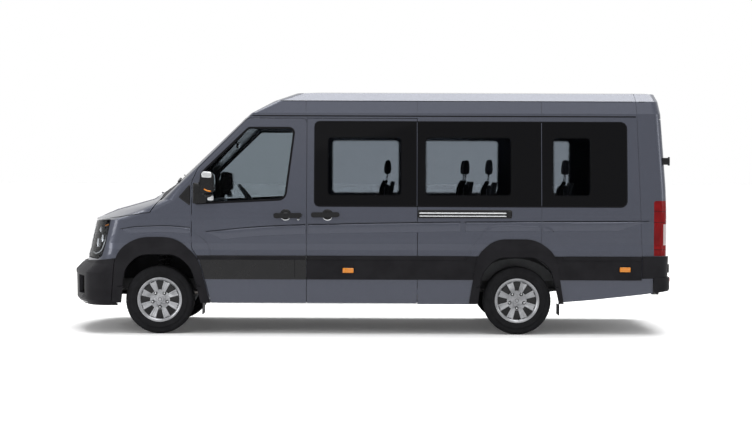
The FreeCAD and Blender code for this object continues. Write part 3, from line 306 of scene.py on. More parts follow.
def blanket(name, across, up, thickness, view, nodes, finish, lift=0.001, body="body", slot=None):
    # A sheet over a whole grid of flat points, laid on a surface: the top lies at lift plus
    # thickness above it and the underside at lift.
    flat = np.stack(np.meshgrid(across, up, indexing="ij"), 2)
    away = np.array(views[view]["away"], float)
    skin = dropOnto(flat.reshape(-1, 2), view, nodes).reshape(*flat.shape[:2], 3)
    upper, lower = skin + away * (lift + thickness), skin + away * lift
    rings = np.concatenate([lower[:, :1], upper, lower[:, ::-1][:, :-1]], 1)
    return closedGrid(name, rings, finish, body=body, slot=slot)


def sweep(name, line, radius, finish, sides=12, flatten=1.0, up=(0, 0, 1), closed=False, body="body", slot=None):
    # A tube round a line in space. The radius may change along it and flatten squeezes it along up.
    line = np.asarray(line, float)
    ahead = np.roll(line, -1, 0) - np.roll(line, 1, 0) if closed else np.gradient(line, axis=0)
    ahead /= np.linalg.norm(ahead, axis=1, keepdims=True)
    radius = np.broadcast_to(np.asarray(radius, float), (len(line),))
    across = np.cross(ahead, np.array(up, float))
    weak = np.linalg.norm(across, axis=1) < 0.05
    across[weak] = np.cross(ahead[weak], (0.0, 1.0, 0.0))
    across /= np.linalg.norm(across, axis=1, keepdims=True)
    over = np.cross(across, ahead)
    turn = np.linspace(0, 2 * np.pi, sides, endpoint=False)
    ring = across[:, None] * np.cos(turn)[None, :, None] + over[:, None] * (np.sin(turn) * flatten)[None, :, None]
    return closedGrid(name, line[:, None] + ring * radius[:, None, None], finish, wrapRows=closed, body=body, slot=slot)


def lathe(name, profile, centre, axis, finish, sides=64, wave=None, body="body", slot=None):
    # A profile of (along the axis, radius) turned about the axis; one that never meets the axis
    # closes on itself. wave(turn) may change the radii.
    profile = np.asarray(profile, float)
    axis = np.array(axis, float) / np.linalg.norm(axis)
    first = np.cross(axis, (1.0, 0.0, 0.0) if abs(axis[0]) < 0.9 else (0.0, 1.0, 0.0))
    first /= np.linalg.norm(first)
    second = np.cross(axis, first)
    turn = np.linspace(0, 2 * np.pi, sides, endpoint=False)
    spoke = first * np.cos(turn)[:, None] + second * np.sin(turn)[:, None]
    radii = profile[:, 1][:, None] * np.ones(sides)
    if wave is not None:
        radii = radii + wave(turn)
    grid = np.array(centre) + axis * profile[:, 0][:, None, None] + spoke[None] * radii[:, :, None]
    ringShaped = profile[0, 1] > 0 and profile[-1, 1] > 0
    return closedGrid(name, grid, finish, wrapRows=ringShaped, body=body, slot=slot)


def softBlock(name, middle, size, finish, power=5.0, turn=0.0, taper=(1, 1), rows=17, columns=32, body="body",
              slot=None):
    # A superellipsoid: signed powers of sines and cosines pull a ball towards a box. taper scales
    # its length and width at the top, and turn rotates it about Y in degrees.
    rise = np.linspace(-np.pi / 2, np.pi / 2, rows)[1:-1]
    around = np.linspace(-np.pi, np.pi, columns, endpoint=False)

    def bent(value):
        return np.sign(value) * np.abs(value) ** (2 / power)

    x = bent(np.cos(rise))[:, None] * bent(np.cos(around))
    y = bent(np.cos(rise))[:, None] * bent(np.sin(around))
    z = bent(np.sin(rise))[:, None] * np.ones(columns)
    share = (z + 1) / 2
    x = x * (1 + (taper[0] - 1) * share)
    y = y * (1 + (taper[1] - 1) * share)
    grid = np.stack([x, y, z], 2) * np.array(size) / 2
    angle = math.radians(turn)
    turned = grid.copy()
    turned[..., 0] = grid[..., 0] * math.cos(angle) + grid[..., 2] * math.sin(angle)
    turned[..., 2] = -grid[..., 0] * math.sin(angle) + grid[..., 2] * math.cos(angle)
    return closedGrid(name, turned + np.array(middle), finish, body=body, slot=slot)


def extrusion(name, outline, low, high, finish, plane="xz", edge=0.004, body="body", slot=None):
    # an outline in a plane carried along the third axis, with eased edges
    outline = np.asarray(outline, float)
    middle = outline.mean(0)
    shrink = edge / max(np.linalg.norm(outline - middle, axis=1).mean(), 1e-6)
    stations = [(low, 1 - shrink), (low + edge * 0.3, 1 - shrink * 0.3), (low + edge, 1.0),
                (high - edge, 1.0), (high - edge * 0.3, 1 - shrink * 0.3), (high, 1 - shrink)]
    grid = []
    for depth, scale in stations:
        flat = middle + (outline - middle) * scale
        deep = np.full(len(flat), depth)
        columns = {"xz": (flat[:, 0], deep, flat[:, 1]), "yz": (deep, flat[:, 0], flat[:, 1]),
                   "xy": (flat[:, 0], flat[:, 1], deep)}[plane]
        grid.append(np.stack(columns, 1))
    return closedGrid(name, grid, finish, body=body, slot=slot)


def outlineOf(node, view, count=160, grow=0.0, part=None):
    # The convex outline of a CAD node in a view, moved outward by grow. part picks points by a
    # test on their coordinates.
    axes = list(views[view]["axes"])
    mesh = frame["nodes"][node].data
    at = np.empty(len(mesh.vertices) * 3)
    mesh.vertices.foreach_get("co", at)
    at = at.reshape(-1, 3)
    if part is not None:
        at = at[part(at)]
    flat = at[:, axes]
    ring = flat[convex_hull_2d([Vector(p) for p in flat])]
    line = evenLine(ring, count, True)
    ahead = np.roll(line, -1, 0) - np.roll(line, 1, 0)
    side = np.stack([ahead[:, 1], -ahead[:, 0]], 1)
    side /= np.linalg.norm(side, axis=1, keepdims=True)
    if ((line - line.mean(0)) * side).sum() < 0:
        side = -side
    return line + side * grow


def copied(piece, name, body, along=0.0, mirror=False, across=0.0, up=0.0):
    # the same piece moved along, across and up and, if asked, turned over to the other side
    mesh = piece.data.copy()
    at = np.empty(len(mesh.vertices) * 3)
    mesh.vertices.foreach_get("co", at)
    at[0::3] += along
    at[1::3] += across
    at[2::3] += up
    if mirror:
        at[1::3] *= -1
    mesh.vertices.foreach_set("co", at)
    if mirror:
        mesh.flip_normals()
    mesh.update()
    twin = bpy.data.objects.new(name, mesh)
    bpy.context.scene.collection.objects.link(twin)
    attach(twin, body)
    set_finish(twin, piece["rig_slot"])
    return twin


def onBothSides(piece, rightBody=None):
    # keeps the left piece and adds its mirror image, named and carried for the right
    body = rightBody or piece["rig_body"].replace("left", "right")
    return copied(piece, piece.name.replace("Left", "Right"), body, 0.0, True)


# Finishes

def newMaterial(name, color, roughness, **sockets):
    # a plain Principled finish whose even values sit on the shader's own sockets
    material = bpy.data.materials.new(name)
    material.use_nodes = True
    shader = material.node_tree.nodes["Principled BSDF"]
    shader.inputs["Base Color"].default_value = (*color, 1)
    shader.inputs["Roughness"].default_value = roughness
    for socket, value in sockets.items():
        shader.inputs[socket.replace("_", " ")].default_value = value
    return material


def addNode(material, kind, inputs=None, **settings):
    node = material.node_tree.nodes.new(kind)
    for key, value in settings.items():
        setattr(node, key, value)
    for socket, value in (inputs or {}).items():
        if hasattr(value, "links"):
            material.node_tree.links.new(value, node.inputs[socket])
        else:
            node.inputs[socket].default_value = value
    return node


def objectPoint(material, stretch=(1, 1, 1)):
    place = addNode(material, "ShaderNodeTexCoord")
    return addNode(material, "ShaderNodeMapping", {"Vector": place.outputs["Object"], "Scale": stretch}).outputs[0]


def noise(material, scale, detail=3.0, stretch=(1, 1, 1), rough=0.5):
    return addNode(material, "ShaderNodeTexNoise", {
        "Vector": objectPoint(material, stretch), "Scale": scale, "Detail": detail,
        "Roughness": rough}).outputs["Fac"]


def spread(material, value, low, high, start=0.0, end=1.0):
    # start..end of the value becomes low..high
    return addNode(material, "ShaderNodeMapRange", {
        "Value": value, "From Min": start, "From Max": end, "To Min": low, "To Max": high}).outputs[0]


def reckon(material, how, first, second=0.0):
    return addNode(material, "ShaderNodeMath", {0: first, 1: second}, operation=how).outputs[0]


def colorMix(material, value, first, second, start=0.35, end=0.65):
    ramp = addNode(material, "ShaderNodeValToRGB", {"Fac": value})
    ramp.color_ramp.elements[0].position = start
    ramp.color_ramp.elements[0].color = (*first, 1)
    ramp.color_ramp.elements[1].position = end
    ramp.color_ramp.elements[1].color = (*second, 1)
    return ramp.outputs["Color"]


def feed(material, socket, value):
    shader = material.node_tree.nodes["Principled BSDF"]
    material.node_tree.links.new(value, shader.inputs[socket])


def bump(material, height, strength, distance, below=None):
    inputs = {"Height": height, "Strength": strength, "Distance": distance}
    if below is not None:
        inputs["Normal"] = below
    normal = addNode(material, "ShaderNodeBump", inputs).outputs["Normal"]
    feed(material, "Normal", normal)
    return normal


paintLook = {
    "color": (0.036, 0.04, 0.058),
    "flakeColor": (0.072, 0.08, 0.11),
    "roughness": 0.34,
    "metallic": 0.45,
    "flakeScale": 900.0,
}


def makePaint(name):
    # Metallic paint: small flakes of two tones, a slow orange-peel ripple and a clear coat. Close
    # to the ground a thin film of road dust dulls it.
    material = newMaterial(name, paintLook["color"], paintLook["roughness"], Metallic=paintLook["metallic"],
                           Coat_Weight=0.5, Coat_Roughness=0.1, Specular_IOR_Level=0.25)
    flake = addNode(material, "ShaderNodeTexVoronoi", {
        "Vector": objectPoint(material), "Scale": paintLook["flakeScale"]}).outputs["Color"]
    feed(material, "Base Color", colorMix(material, flake, paintLook["color"], paintLook["flakeColor"], 0.2, 0.9))
    height = addNode(material, "ShaderNodeSeparateXYZ", {"Vector": objectPoint(material)}).outputs["Z"]
    dust = spread(material, height, 0.12, 0.0, 0.3, 0.75)
    smear = reckon(material, "MULTIPLY", dust, noise(material, 7.0, 6.0))
    even = spread(material, noise(material, 3.0), 0.3, 0.37)
    feed(material, "Roughness", reckon(material, "ADD", even, smear))
    ripple = addNode(material, "ShaderNodeBump", {
        "Height": noise(material, 60.0, 1.0), "Strength": 0.02, "Distance": 0.001}).outputs["Normal"]
    feed(material, "Coat Normal", ripple)
    return material


def makeGrained(name, color, lighter, roughness, scale=700.0, depth=0.0004, gloss=0.25):
    # moulded plastic: fine grain as bump, and slow changes of tone
    material = newMaterial(name, color, roughness, Specular_IOR_Level=gloss)
    grain = noise(material, scale, 2.0)
    feed(material, "Base Color", colorMix(material, noise(material, 6.0, 4.0), color, lighter))
    feed(material, "Roughness", spread(material, grain, roughness - 0.07, roughness + 0.07, 0.3, 0.7))
    bump(material, grain, 0.35, depth)
    return material


def glassShader(material, tint, cover, solid=None):
    # A see-through tint below the shader's mirror, which grows towards grazing angles. Where
    # solid is 1 the glass is printed black.
    shader = material.node_tree.nodes["Principled BSDF"]
    clear = addNode(material, "ShaderNodeBsdfTransparent", {"Color": (*tint, 1)})
    edge = addNode(material, "ShaderNodeLayerWeight", {"Blend": 0.22}).outputs["Fresnel"]
    share = spread(material, edge, cover, 1.0)
    if solid is not None:
        share = reckon(material, "MAXIMUM", share, solid)
    blend = addNode(material, "ShaderNodeMixShader", {0: share, 1: clear.outputs[0], 2: shader.outputs[0]})
    out = material.node_tree.nodes["Material Output"]
    material.node_tree.links.new(blend.outputs[0], out.inputs["Surface"])


def makeGlass(name, tint, cover, roughness=0.02):
    material = newMaterial(name, (0.01, 0.011, 0.013), roughness, Specular_IOR_Level=0.5, IOR=1.5)
    feed(material, "Roughness", spread(material, noise(material, 4.0, 5.0), roughness * 0.6, roughness * 1.6))
    glassShader(material, tint, cover)
    return material


def roundedBoxFar(material, flat, low, high, radius):
    # Signed distance of a point from a rectangle with round corners: the part of |p - middle| that
    # is past the shrunken half sizes, less the radius.
    middle = [(a + b) / 2 for a, b in zip(low, high)]
    half = [(b - a) / 2 - radius for a, b in zip(low, high)]
    off = addNode(material, "ShaderNodeVectorMath", {0: flat, 1: (middle[0], 0, middle[1])}, operation="SUBTRACT")
    size = addNode(material, "ShaderNodeVectorMath", {0: off.outputs[0]}, operation="ABSOLUTE")
    past = addNode(material, "ShaderNodeVectorMath", {0: size.outputs[0], 1: (half[0], 0, half[1])},
                   operation="SUBTRACT")
    kept = addNode(material, "ShaderNodeVectorMath", {0: past.outputs[0], 1: (0, 0, 0)}, operation="MAXIMUM")
    reach = addNode(material, "ShaderNodeVectorMath", {0: kept.outputs[0]}, operation="LENGTH")
    return reckon(material, "SUBTRACT", reach.outputs["Value"], radius)


# Clear parts of the printed side glass: (start, end) along the vehicle and (low, high).
sideGlassLook = {
    "clear": (((-0.44, 0.35), (1.45, 2.075)), ((0.59, 1.5), (1.45, 2.075)), ((1.925, 2.33), (1.45, 2.075))),
    "corner": 0.05,
    "tint": (0.66, 0.685, 0.71),
    "dotPitch": 0.006,
    "dotBand": 0.03,
}


def makePrintedGlass(name):
    # Dark side glass. Outside the clear panes it is printed black, with a band of dots that thins
    # out towards each pane.
    material = newMaterial(name, (0.005, 0.005, 0.006), 0.03, Specular_IOR_Level=0.06, IOR=1.5)
    point = objectPoint(material)
    flat = addNode(material, "ShaderNodeVectorMath", {0: point, 1: (1, 0, 1)}, operation="MULTIPLY").outputs[0]
    far = None
    for along, up in sideGlassLook["clear"]:
        one = roundedBoxFar(material, flat, (along[0], up[0]), (along[1], up[1]), sideGlassLook["corner"])
        far = one if far is None else reckon(material, "MINIMUM", far, one)
    dots = addNode(material, "ShaderNodeTexVoronoi", {
        "Vector": flat, "Scale": 1 / sideGlassLook["dotPitch"], "Randomness": 0.0}).outputs["Distance"]
    band = spread(material, far, 0.65, 0.0, -sideGlassLook["dotBand"], 0.0)
    dotted = reckon(material, "LESS_THAN", dots, reckon(material, "SUBTRACT", 0.65, band))
    solid = reckon(material, "MAXIMUM", reckon(material, "GREATER_THAN", far, 0.0), dotted)
    feed(material, "Roughness", spread(material, noise(material, 4.0, 5.0), 0.015, 0.04))
    glassShader(material, sideGlassLook["tint"], 0.045, solid)
    return material


def makeCast(name, color, roughness, metallic, scale=160.0):
    material = newMaterial(name, color, roughness, Metallic=metallic)
    grain = noise(material, scale, 4.0)
    darker = tuple(c * 0.6 for c in color)
    feed(material, "Base Color", colorMix(material, noise(material, 9.0, 5.0), darker, color, 0.3, 0.6))
    feed(material, "Roughness", spread(material, grain, roughness - 0.1, roughness + 0.1))
    bump(material, grain, 0.3, 0.0006)
    return material


def makeBright(name, color, roughness):
    # chrome or polished metal with faint wiping marks
    material = newMaterial(name, color, roughness, Metallic=1.0)
    marks = noise(material, 30.0, 6.0, (1, 1, 8))
    feed(material, "Roughness", spread(material, marks, roughness * 0.6, roughness * 1.7))
    bump(material, marks, 0.05, 0.0002)
    return material


def makeRubber(name, color):
    material = newMaterial(name, color, 0.82, Specular_IOR_Level=0.12)
    dust = noise(material, 12.0, 6.0)
    feed(material, "Base Color", colorMix(material, dust, color, tuple(c * 1.9 for c in color), 0.35, 0.75))
    feed(material, "Roughness", spread(material, dust, 0.72, 0.9))
    bump(material, noise(material, 500.0, 3.0), 0.25, 0.0005)
    return material


def makeWeave(name, color, thread, scale=420.0):
    # two crossed sets of threads
    material = newMaterial(name, color, 0.92, Sheen_Weight=0.25)
    across = addNode(material, "ShaderNodeTexWave", {"Vector": objectPoint(material), "Scale": scale},
                     bands_direction="Y").outputs["Fac"]
    along = addNode(material, "ShaderNodeTexWave", {"Vector": objectPoint(material), "Scale": scale},
                    bands_direction="Z").outputs["Fac"]
    both = reckon(material, "MAXIMUM", across, along)
    feed(material, "Base Color", colorMix(material, both, color, thread, 0.3, 0.9))
    bump(material, both, 0.4, 0.0006)
    return material


def makeLens(name, color, lighter, pitch=0.012):
    # coloured lamp cover: moulded ribs below a glossy face
    material = newMaterial(name, color, 0.1, Coat_Weight=0.3, Coat_Roughness=0.02, Specular_IOR_Level=0.3)
    rib = addNode(material, "ShaderNodeTexWave", {"Vector": objectPoint(material), "Scale": 1 / pitch / 6},
                  bands_direction="Z").outputs["Fac"]
    feed(material, "Base Color", colorMix(material, rib, color, lighter, 0.2, 0.95))
    bump(material, rib, 0.25, 0.002)
    return material


tailLampLook = {
    "red": (0.15, 0.001, 0.003),
    "brightRed": (0.34, 0.004, 0.006),
    "clear": (0.6, 0.52, 0.52),
    "clearFrom": (3.085, 0.945, 1.165),
    "divide": (1.185, 0.9, 1.3),
}


def makeTailLens(name):
    # Red cover with a clear window at its rear edge, dark divides, and a grid of small prisms.
    look = tailLampLook
    material = newMaterial(name, look["red"], 0.08, Coat_Weight=0.1, Coat_Roughness=0.03, Specular_IOR_Level=0.08)
    parts = addNode(material, "ShaderNodeSeparateXYZ", {"Vector": objectPoint(material)}).outputs
    rear, low, high = look["clearFrom"]
    prisms = addNode(material, "ShaderNodeTexVoronoi", {
        "Vector": objectPoint(material), "Scale": 140.0, "Randomness": 0.0}).outputs["Distance"]
    red = colorMix(material, prisms, look["brightRed"], look["red"], 0.1, 0.7)
    inside = reckon(material, "MULTIPLY", reckon(material, "GREATER_THAN", parts["X"], rear),
                    reckon(material, "MULTIPLY", reckon(material, "GREATER_THAN", parts["Z"], low),
                           reckon(material, "LESS_THAN", parts["Z"], high)))
    mixed = addNode(material, "ShaderNodeMix", {"Factor": inside, 6: red, 7: (*look["clear"], 1)}, data_type="RGBA")
    line = None
    for level in look["divide"]:
        near = reckon(material, "LESS_THAN",
                      reckon(material, "ABSOLUTE", reckon(material, "SUBTRACT", parts["Z"], level)), 0.0035)
        line = near if line is None else reckon(material, "MAXIMUM", line, near)
    dark = addNode(material, "ShaderNodeMix", {"Factor": line, 6: mixed.outputs[2], 7: (0.09, 0.003, 0.005, 1)},
                   data_type="RGBA")
    feed(material, "Base Color", dark.outputs[2])
    bump(material, prisms, 0.2, 0.002)
    return material


finishes = {
    "body_paint": makePaint("bodyPaint"),
    "dark_glass": makePrintedGlass("darkGlass"),
    "windscreen_glass": makeGlass("windscreenGlass", (0.65, 0.68, 0.7), 0.03),
    "black_cladding": makeGrained("blackCladding", (0.013, 0.0125, 0.0145), (0.018, 0.0175, 0.02), 0.5, gloss=0.07),
    "gloss_black": makeGrained("glossBlack", (0.005, 0.005, 0.006), (0.007, 0.007, 0.008), 0.2, 300.0, 0.0001),
    "headlamp_lens": makeGlass("headlampLens", (0.88, 0.9, 0.92), 0.04),
    "tail_lamp_lens": makeTailLens("tailLampLens"),
    "wheel_silver": makeCast("wheelSilver", (0.34, 0.345, 0.36), 0.3, 0.75, 900.0),
    "tyre_rubber": makeRubber("tyreRubber", (0.009, 0.009, 0.01)),
    "chassis_black": makeCast("chassisBlack", (0.022, 0.022, 0.024), 0.5, 0.2),
    "cast_metal": makeCast("castMetal", (0.11, 0.105, 0.1), 0.62, 0.7),
    "engine_metal": makeCast("engineMetal", (0.3, 0.3, 0.3), 0.5, 0.8),
    "exhaust_steel": makeCast("exhaustSteel", (0.3, 0.28, 0.26), 0.45, 0.9),
    "floor_panel": makeCast("floorPanel", (0.05, 0.052, 0.056), 0.5, 0.3),
    "interior_plastic": makeGrained("interiorPlastic", (0.035, 0.036, 0.04), (0.045, 0.046, 0.05), 0.62),
    "seat_fabric": makeWeave("seatFabric", (0.02, 0.021, 0.025), (0.045, 0.047, 0.055)),
    "seat_frame": makeCast("seatFrame", (0.03, 0.03, 0.032), 0.45, 0.3),
}
chrome = makeBright("chrome", (0.72, 0.73, 0.75), 0.08)
satinSteel = makeBright("satinSteel", (0.5, 0.51, 0.52), 0.22)
mirrorGlass = makeBright("mirrorGlass", (0.8, 0.82, 0.84), 0.02)
amberLens = makeLens("amberLens", (0.85, 0.24, 0.01), (0.95, 0.36, 0.03))
redLens = makeLens("redLens", (0.42, 0.006, 0.008), (0.58, 0.012, 0.014))
clearLens = makeLens("clearLens", (0.66, 0.67, 0.68), (0.85, 0.86, 0.87))
lampWhite = makeLens("lampWhite", (0.8, 0.82, 0.84), (0.92, 0.93, 0.94), 0.008)
amberWire = makeCast("demisterWire", (0.1, 0.045, 0.02), 0.6, 0.3)
sealRubber = makeRubber("sealRubber", (0.005, 0.005, 0.006))
plateFace = makeGrained("plateFace", (0.62, 0.62, 0.6), (0.66, 0.66, 0.64), 0.4, 900.0, 0.0001)
headLining = makeGrained("headLining", (0.33, 0.33, 0.32), (0.37, 0.37, 0.36), 0.9, 1200.0, 0.0006)
trimGrey = makeGrained("trimGrey", (0.16, 0.165, 0.17), (0.19, 0.195, 0.2), 0.7)
floorMat = makeGrained("floorMat", (0.03, 0.03, 0.032), (0.045, 0.045, 0.047), 0.85, 220.0, 0.0012)
# The CAD material that each finish usually stands for.
usualSlot = {finish.name: slot for slot, finish in finishes.items()}
usualSlot.update(satinSteel="wheel_silver", chrome="wheel_silver", mirrorGlass="wheel_silver", plateFace="wheel_silver",
                 sealRubber="gloss_black", demisterWire="gloss_black", clearLens="headlamp_lens",
                 lampWhite="headlamp_lens", amberLens="tail_lamp_lens", redLens="tail_lamp_lens",
                 trimGrey="interior_plastic", headLining="interior_plastic", floorMat="floor_panel")
slotOf = {row["node"]: row["material_slot"] for row in frame["record"]["subparts"]}
for node, solid in frame["nodes"].items():
    solid.data.materials.clear()
    solid.data.materials.append(finishes[slotOf[node]])
rearGlass = makeGlass("rearGlass", (0.34, 0.36, 0.37), 0.04)
for node in ("rear_door_glass_left", "rear_door_glass_right"):
    frame["nodes"][node].data.materials.clear()
    frame["nodes"][node].data.materials.append(rearGlass)
print("finishes made")


# Wheels and tyres. One of each is made at the front left and copied to the other corners.

def corners():
    # (name, body, shift along the vehicle, mirrored?) of each road wheel
    tyres = {name: (np.array(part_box("tyre_" + name)[0]) + np.array(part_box("tyre_" + name)[1])) / 2
             for name in ("front_left", "front_right", "rear_left", "rear_right")}
    first = tyres["front_left"]
    return first, [(name, "road_wheel_" + name, place[0] - first[0], place[1] > 0) for name, place in tyres.items()]


tyreLook = {
    "pitches": 66,
    "grooveDepth": 0.0075,
    "lateralDepth": 0.0055,
    "grooves": (-0.056, -0.019, 0.019, 0.056),
    "grooveWidth": 0.009,
}


def makeTyre(hub):
    # Half section from the bead over the sidewall to the shoulder, mirrored for the other side.
    # The tread between is flat with round grooves, and blocks are parted by narrow cross grooves.
    radius = (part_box("tyre_front_left")[1][2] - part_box("tyre_front_left")[0][2]) / 2
    half = (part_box("tyre_front_left")[1][1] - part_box("tyre_front_left")[0][1]) / 2
    side = [(half - 0.035, radius - 0.119), (half - 0.021, radius - 0.118), (half - 0.011, radius - 0.11),
            (half - 0.008, radius - 0.104), (half - 0.0085, radius - 0.102), (half - 0.005, radius - 0.092),
            (half - 0.001, radius - 0.075), (half, radius - 0.066), (half - 0.0025, radius - 0.0645),
            (half - 0.0015, radius - 0.05), (half - 0.004, radius - 0.036), (half - 0.0032, radius - 0.0335),
            (half - 0.009, radius - 0.02), (half - 0.0145, radius - 0.01)]
    crown = [(half - 0.021, radius - 0.0045), (half - 0.03, radius - 0.0018)]
    tread = []
    for middle in reversed(tyreLook["grooves"]):
        wide, deep = tyreLook["grooveWidth"] / 2, tyreLook["grooveDepth"]
        tread += [(middle + wide, radius - 0.0004), (middle + wide * 0.7, radius - deep),
                  (middle - wide * 0.7, radius - deep), (middle - wide, radius - 0.0004)]
    profile = side + crown + tread + [(-a, r) for a, r in reversed(side + crown)]
    inside = [(-(half - 0.045), radius - 0.13), (half - 0.045, radius - 0.13)]
    profile = np.array(profile + inside)
    columns = tyreLook["pitches"] * 4
    turn = np.linspace(0, 2 * np.pi, columns, endpoint=False)
    onTread = (profile[:, 1] > radius - 0.012) & (profile[:, 1] > radius - tyreLook["grooveDepth"] + 0.001)
    skew = np.abs(profile[:, 0]) / half * 0.03
    phase = (turn[None] / (2 * np.pi) * tyreLook["pitches"] + skew[:, None] * 40) % 1
    cut = np.where(onTread[:, None] & (phase < 0.2), tyreLook["lateralDepth"], 0)
    cut = cut * np.where(np.abs(profile[:, 0]) < 0.03, 0.35, 1.0)[:, None]
    radii = profile[:, 1][:, None] - cut
    grid = np.stack([hub[0] + radii * np.cos(turn), np.broadcast_to(hub[1] + profile[:, 0][:, None], radii.shape),
                     hub[2] + radii * np.sin(turn)], 2)
    piece = closedGrid("tyreFrontLeft", grid, finishes["tyre_rubber"], wrapRows=True, body="road_wheel_front_left")
    return piece


# Distances in the wheel are from its centre plane outward, and from its axis.
wheelLook = {
    "spokes": 8,
    "spokeFrom": 0.078,
    "spokeTo": 0.199,
    "spokeWidths": (0.04, 0.074),
    "face": ((0.04, 0.0575), (0.096, 0.0555), (0.137, 0.0665), (0.199, 0.0735)),
    "proud": 0.006,
    "nutCircle": 0.08,
    "nuts": 5,
    "rimRadius": 0.234,
}


def faceAt(radius):
    reach, height = zip(*wheelLook["face"])
    return np.interp(radius, reach, height)


def makeSpoke(index, hub):
    # Across the spoke the height is a plateau with round edges; its middle third is sunk and
    # carries three fine ribs. Along the spoke it follows the face of the wheel.
    look = wheelLook
    turn = 2 * np.pi * (index + 0.5) / look["spokes"]
    along = np.linspace(look["spokeFrom"], look["spokeTo"], 15)
    across = np.array([-1, -1, -0.94, -0.84, -0.5, -0.44, -0.36, -0.3, -0.24, -0.12, -0.06, 0.06, 0.12,
                       0.24, 0.3, 0.36, 0.44, 0.5, 0.84, 0.94, 1, 1])
    lift = np.array([-0.006, 0.5, 0.9, 1, 1, 0.35, 0.3, 0.62, 0.3, 0.3, 0.62, 0.62, 0.3, 0.3, 0.62, 0.3, 0.35,
                     1, 1, 0.9, 0.5, -0.006])
    ends = np.clip(np.minimum((along - along[0]) / 0.008, (along[-1] - along) / 0.008), 0.15, 1)
    wide = np.interp(along, (along[0], along[-1]), look["spokeWidths"]) / 2
    side = across[None] * wide[:, None]
    height = faceAt(along)[:, None] + look["proud"] * lift[None] * ends[:, None]
    x = along[:, None] * math.cos(turn) - side * math.sin(turn)
    z = along[:, None] * math.sin(turn) + side * math.cos(turn)
    grid = np.stack([hub[0] + x, hub[1] - height, hub[2] + z], 2)
    return closedGrid("spoke", grid, finishes["wheel_silver"], body="road_wheel_front_left")


def makeWheelFace(hub):
    body, silver = "road_wheel_front_left", finishes["wheel_silver"]
    parts = [makeSpoke(k, hub) for k in range(wheelLook["spokes"])]
    away = (0, -1, 0)
    rim = wheelLook["rimRadius"]
    lip = [(0.0735, rim - 0.036), (0.08, rim - 0.03), (0.0915, rim - 0.018), (0.0955, rim - 0.006),
           (0.0965, rim - 0.001), (0.0935, rim), (0.088, rim - 0.012), (0.076, rim - 0.026)]
    parts.append(lathe("rimLip", lip, hub, away, silver, 96, body=body))
    star = [(0.05, 0.0), (0.0625, 0.0), (0.0635, 0.045), (0.061, 0.052), (0.0585, 0.062), (0.05, 0.064)]
    reach = np.array([0, 0, 0.3, 0.8, 1, 1])[:, None]
    parts.append(lathe("hubStar", star, hub, away, silver, 60,
                       lambda turn: 0.01 * np.cos(turn * 5 - np.pi / 2)[None] * reach, body=body))
    face = joined("wheelFaceFrontLeft", parts)
    dark = finishes["gloss_black"]
    darkParts = []
    cap = [(0.06, 0.0), (0.0705, 0.0), (0.07, 0.02), (0.068, 0.027), (0.066, 0.03), (0.06, 0.031)]
    darkParts.append(lathe("hubCap", cap, hub, away, dark, 48, body=body))
    for k in range(wheelLook["nuts"]):
        turn = -np.pi / 2 + 2 * np.pi * k / wheelLook["nuts"]
        place = hub + np.array([math.cos(turn), 0, math.sin(turn)]) * wheelLook["nutCircle"]
        well = [(0.052, 0.0), (0.0585, 0.0), (0.0585, 0.0125), (0.061, 0.016), (0.06, 0.0185), (0.052, 0.0185)]
        darkParts.append(lathe("nutWell", well, place, away, dark, 24, body=body))
    radii = np.linspace(0.104, 0.201, 9)
    ring = [(faceAt(r) + 0.0015, r) for r in radii] + [(faceAt(r) - 0.002, r) for r in radii[::-1]]
    darkParts.append(lathe("spokeGaps", ring + ring[:1], hub, away, dark, 72, body=body))
    caps = joined("wheelCapsFrontLeft", darkParts)
    nuts = []
    for k in range(wheelLook["nuts"]):
        turn = -np.pi / 2 + 2 * np.pi * k / wheelLook["nuts"]
        place = hub + np.array([math.cos(turn), 0, math.sin(turn)]) * wheelLook["nutCircle"]
        nut = [(0.058, 0.0105), (0.066, 0.0105), (0.071, 0.0095), (0.0735, 0.0065), (0.0745, 0.0)]
        nuts.append(lathe("nut", nut, place, away, satinSteel, 6, body=body))
    bolts = joined("wheelNutsFrontLeft", nuts)
    valve = sweep("valveFrontLeft", [hub + np.array([0.02, -0.07, -0.198]), hub + np.array([0.02, -0.082, -0.19]),
                                     hub + np.array([0.02, -0.094, -0.182])], (0.0055, 0.0045, 0.003),
                  finishes["tyre_rubber"], 8, body=body)
    return [face, caps, bolts, valve]


def makeBrake(hub):
    # vented disc: two friction rings with a slot between them, and a hat
    disc = [(0.006, 0.06), (0.006, 0.15), (-0.002, 0.151), (-0.004, 0.146), (-0.01, 0.146), (-0.012, 0.151),
            (-0.02, 0.15), (-0.02, 0.07), (0.0, 0.06), (0.028, 0.058)]
    return lathe("brakeDiscFrontLeft", disc, hub, (0, -1, 0), satinSteel, 72, body="road_wheel_front_left",
                 slot="cast_metal")


def makeShield(hub):
    # pressed plate behind the brake, with a rolled edge and one ring-shaped bead
    plate = [(-0.03, 0.06), (-0.026, 0.1), (-0.032, 0.11), (-0.026, 0.12), (-0.026, 0.196), (-0.018, 0.202),
             (-0.016, 0.2), (-0.022, 0.192), (-0.03, 0.19), (-0.036, 0.11), (-0.034, 0.06)]
    return lathe("brakeShieldFrontLeft", plate, hub, (0, -1, 0), finishes["chassis_black"], 64,
                 body="road_wheel_front_left")


def makeCaliper(hub):
    return softBlock("caliperLeft", hub + np.array([0.118, 0.005, 0.02]), (0.075, 0.06, 0.17),
                     finishes["cast_metal"], 6, body="steering_left")


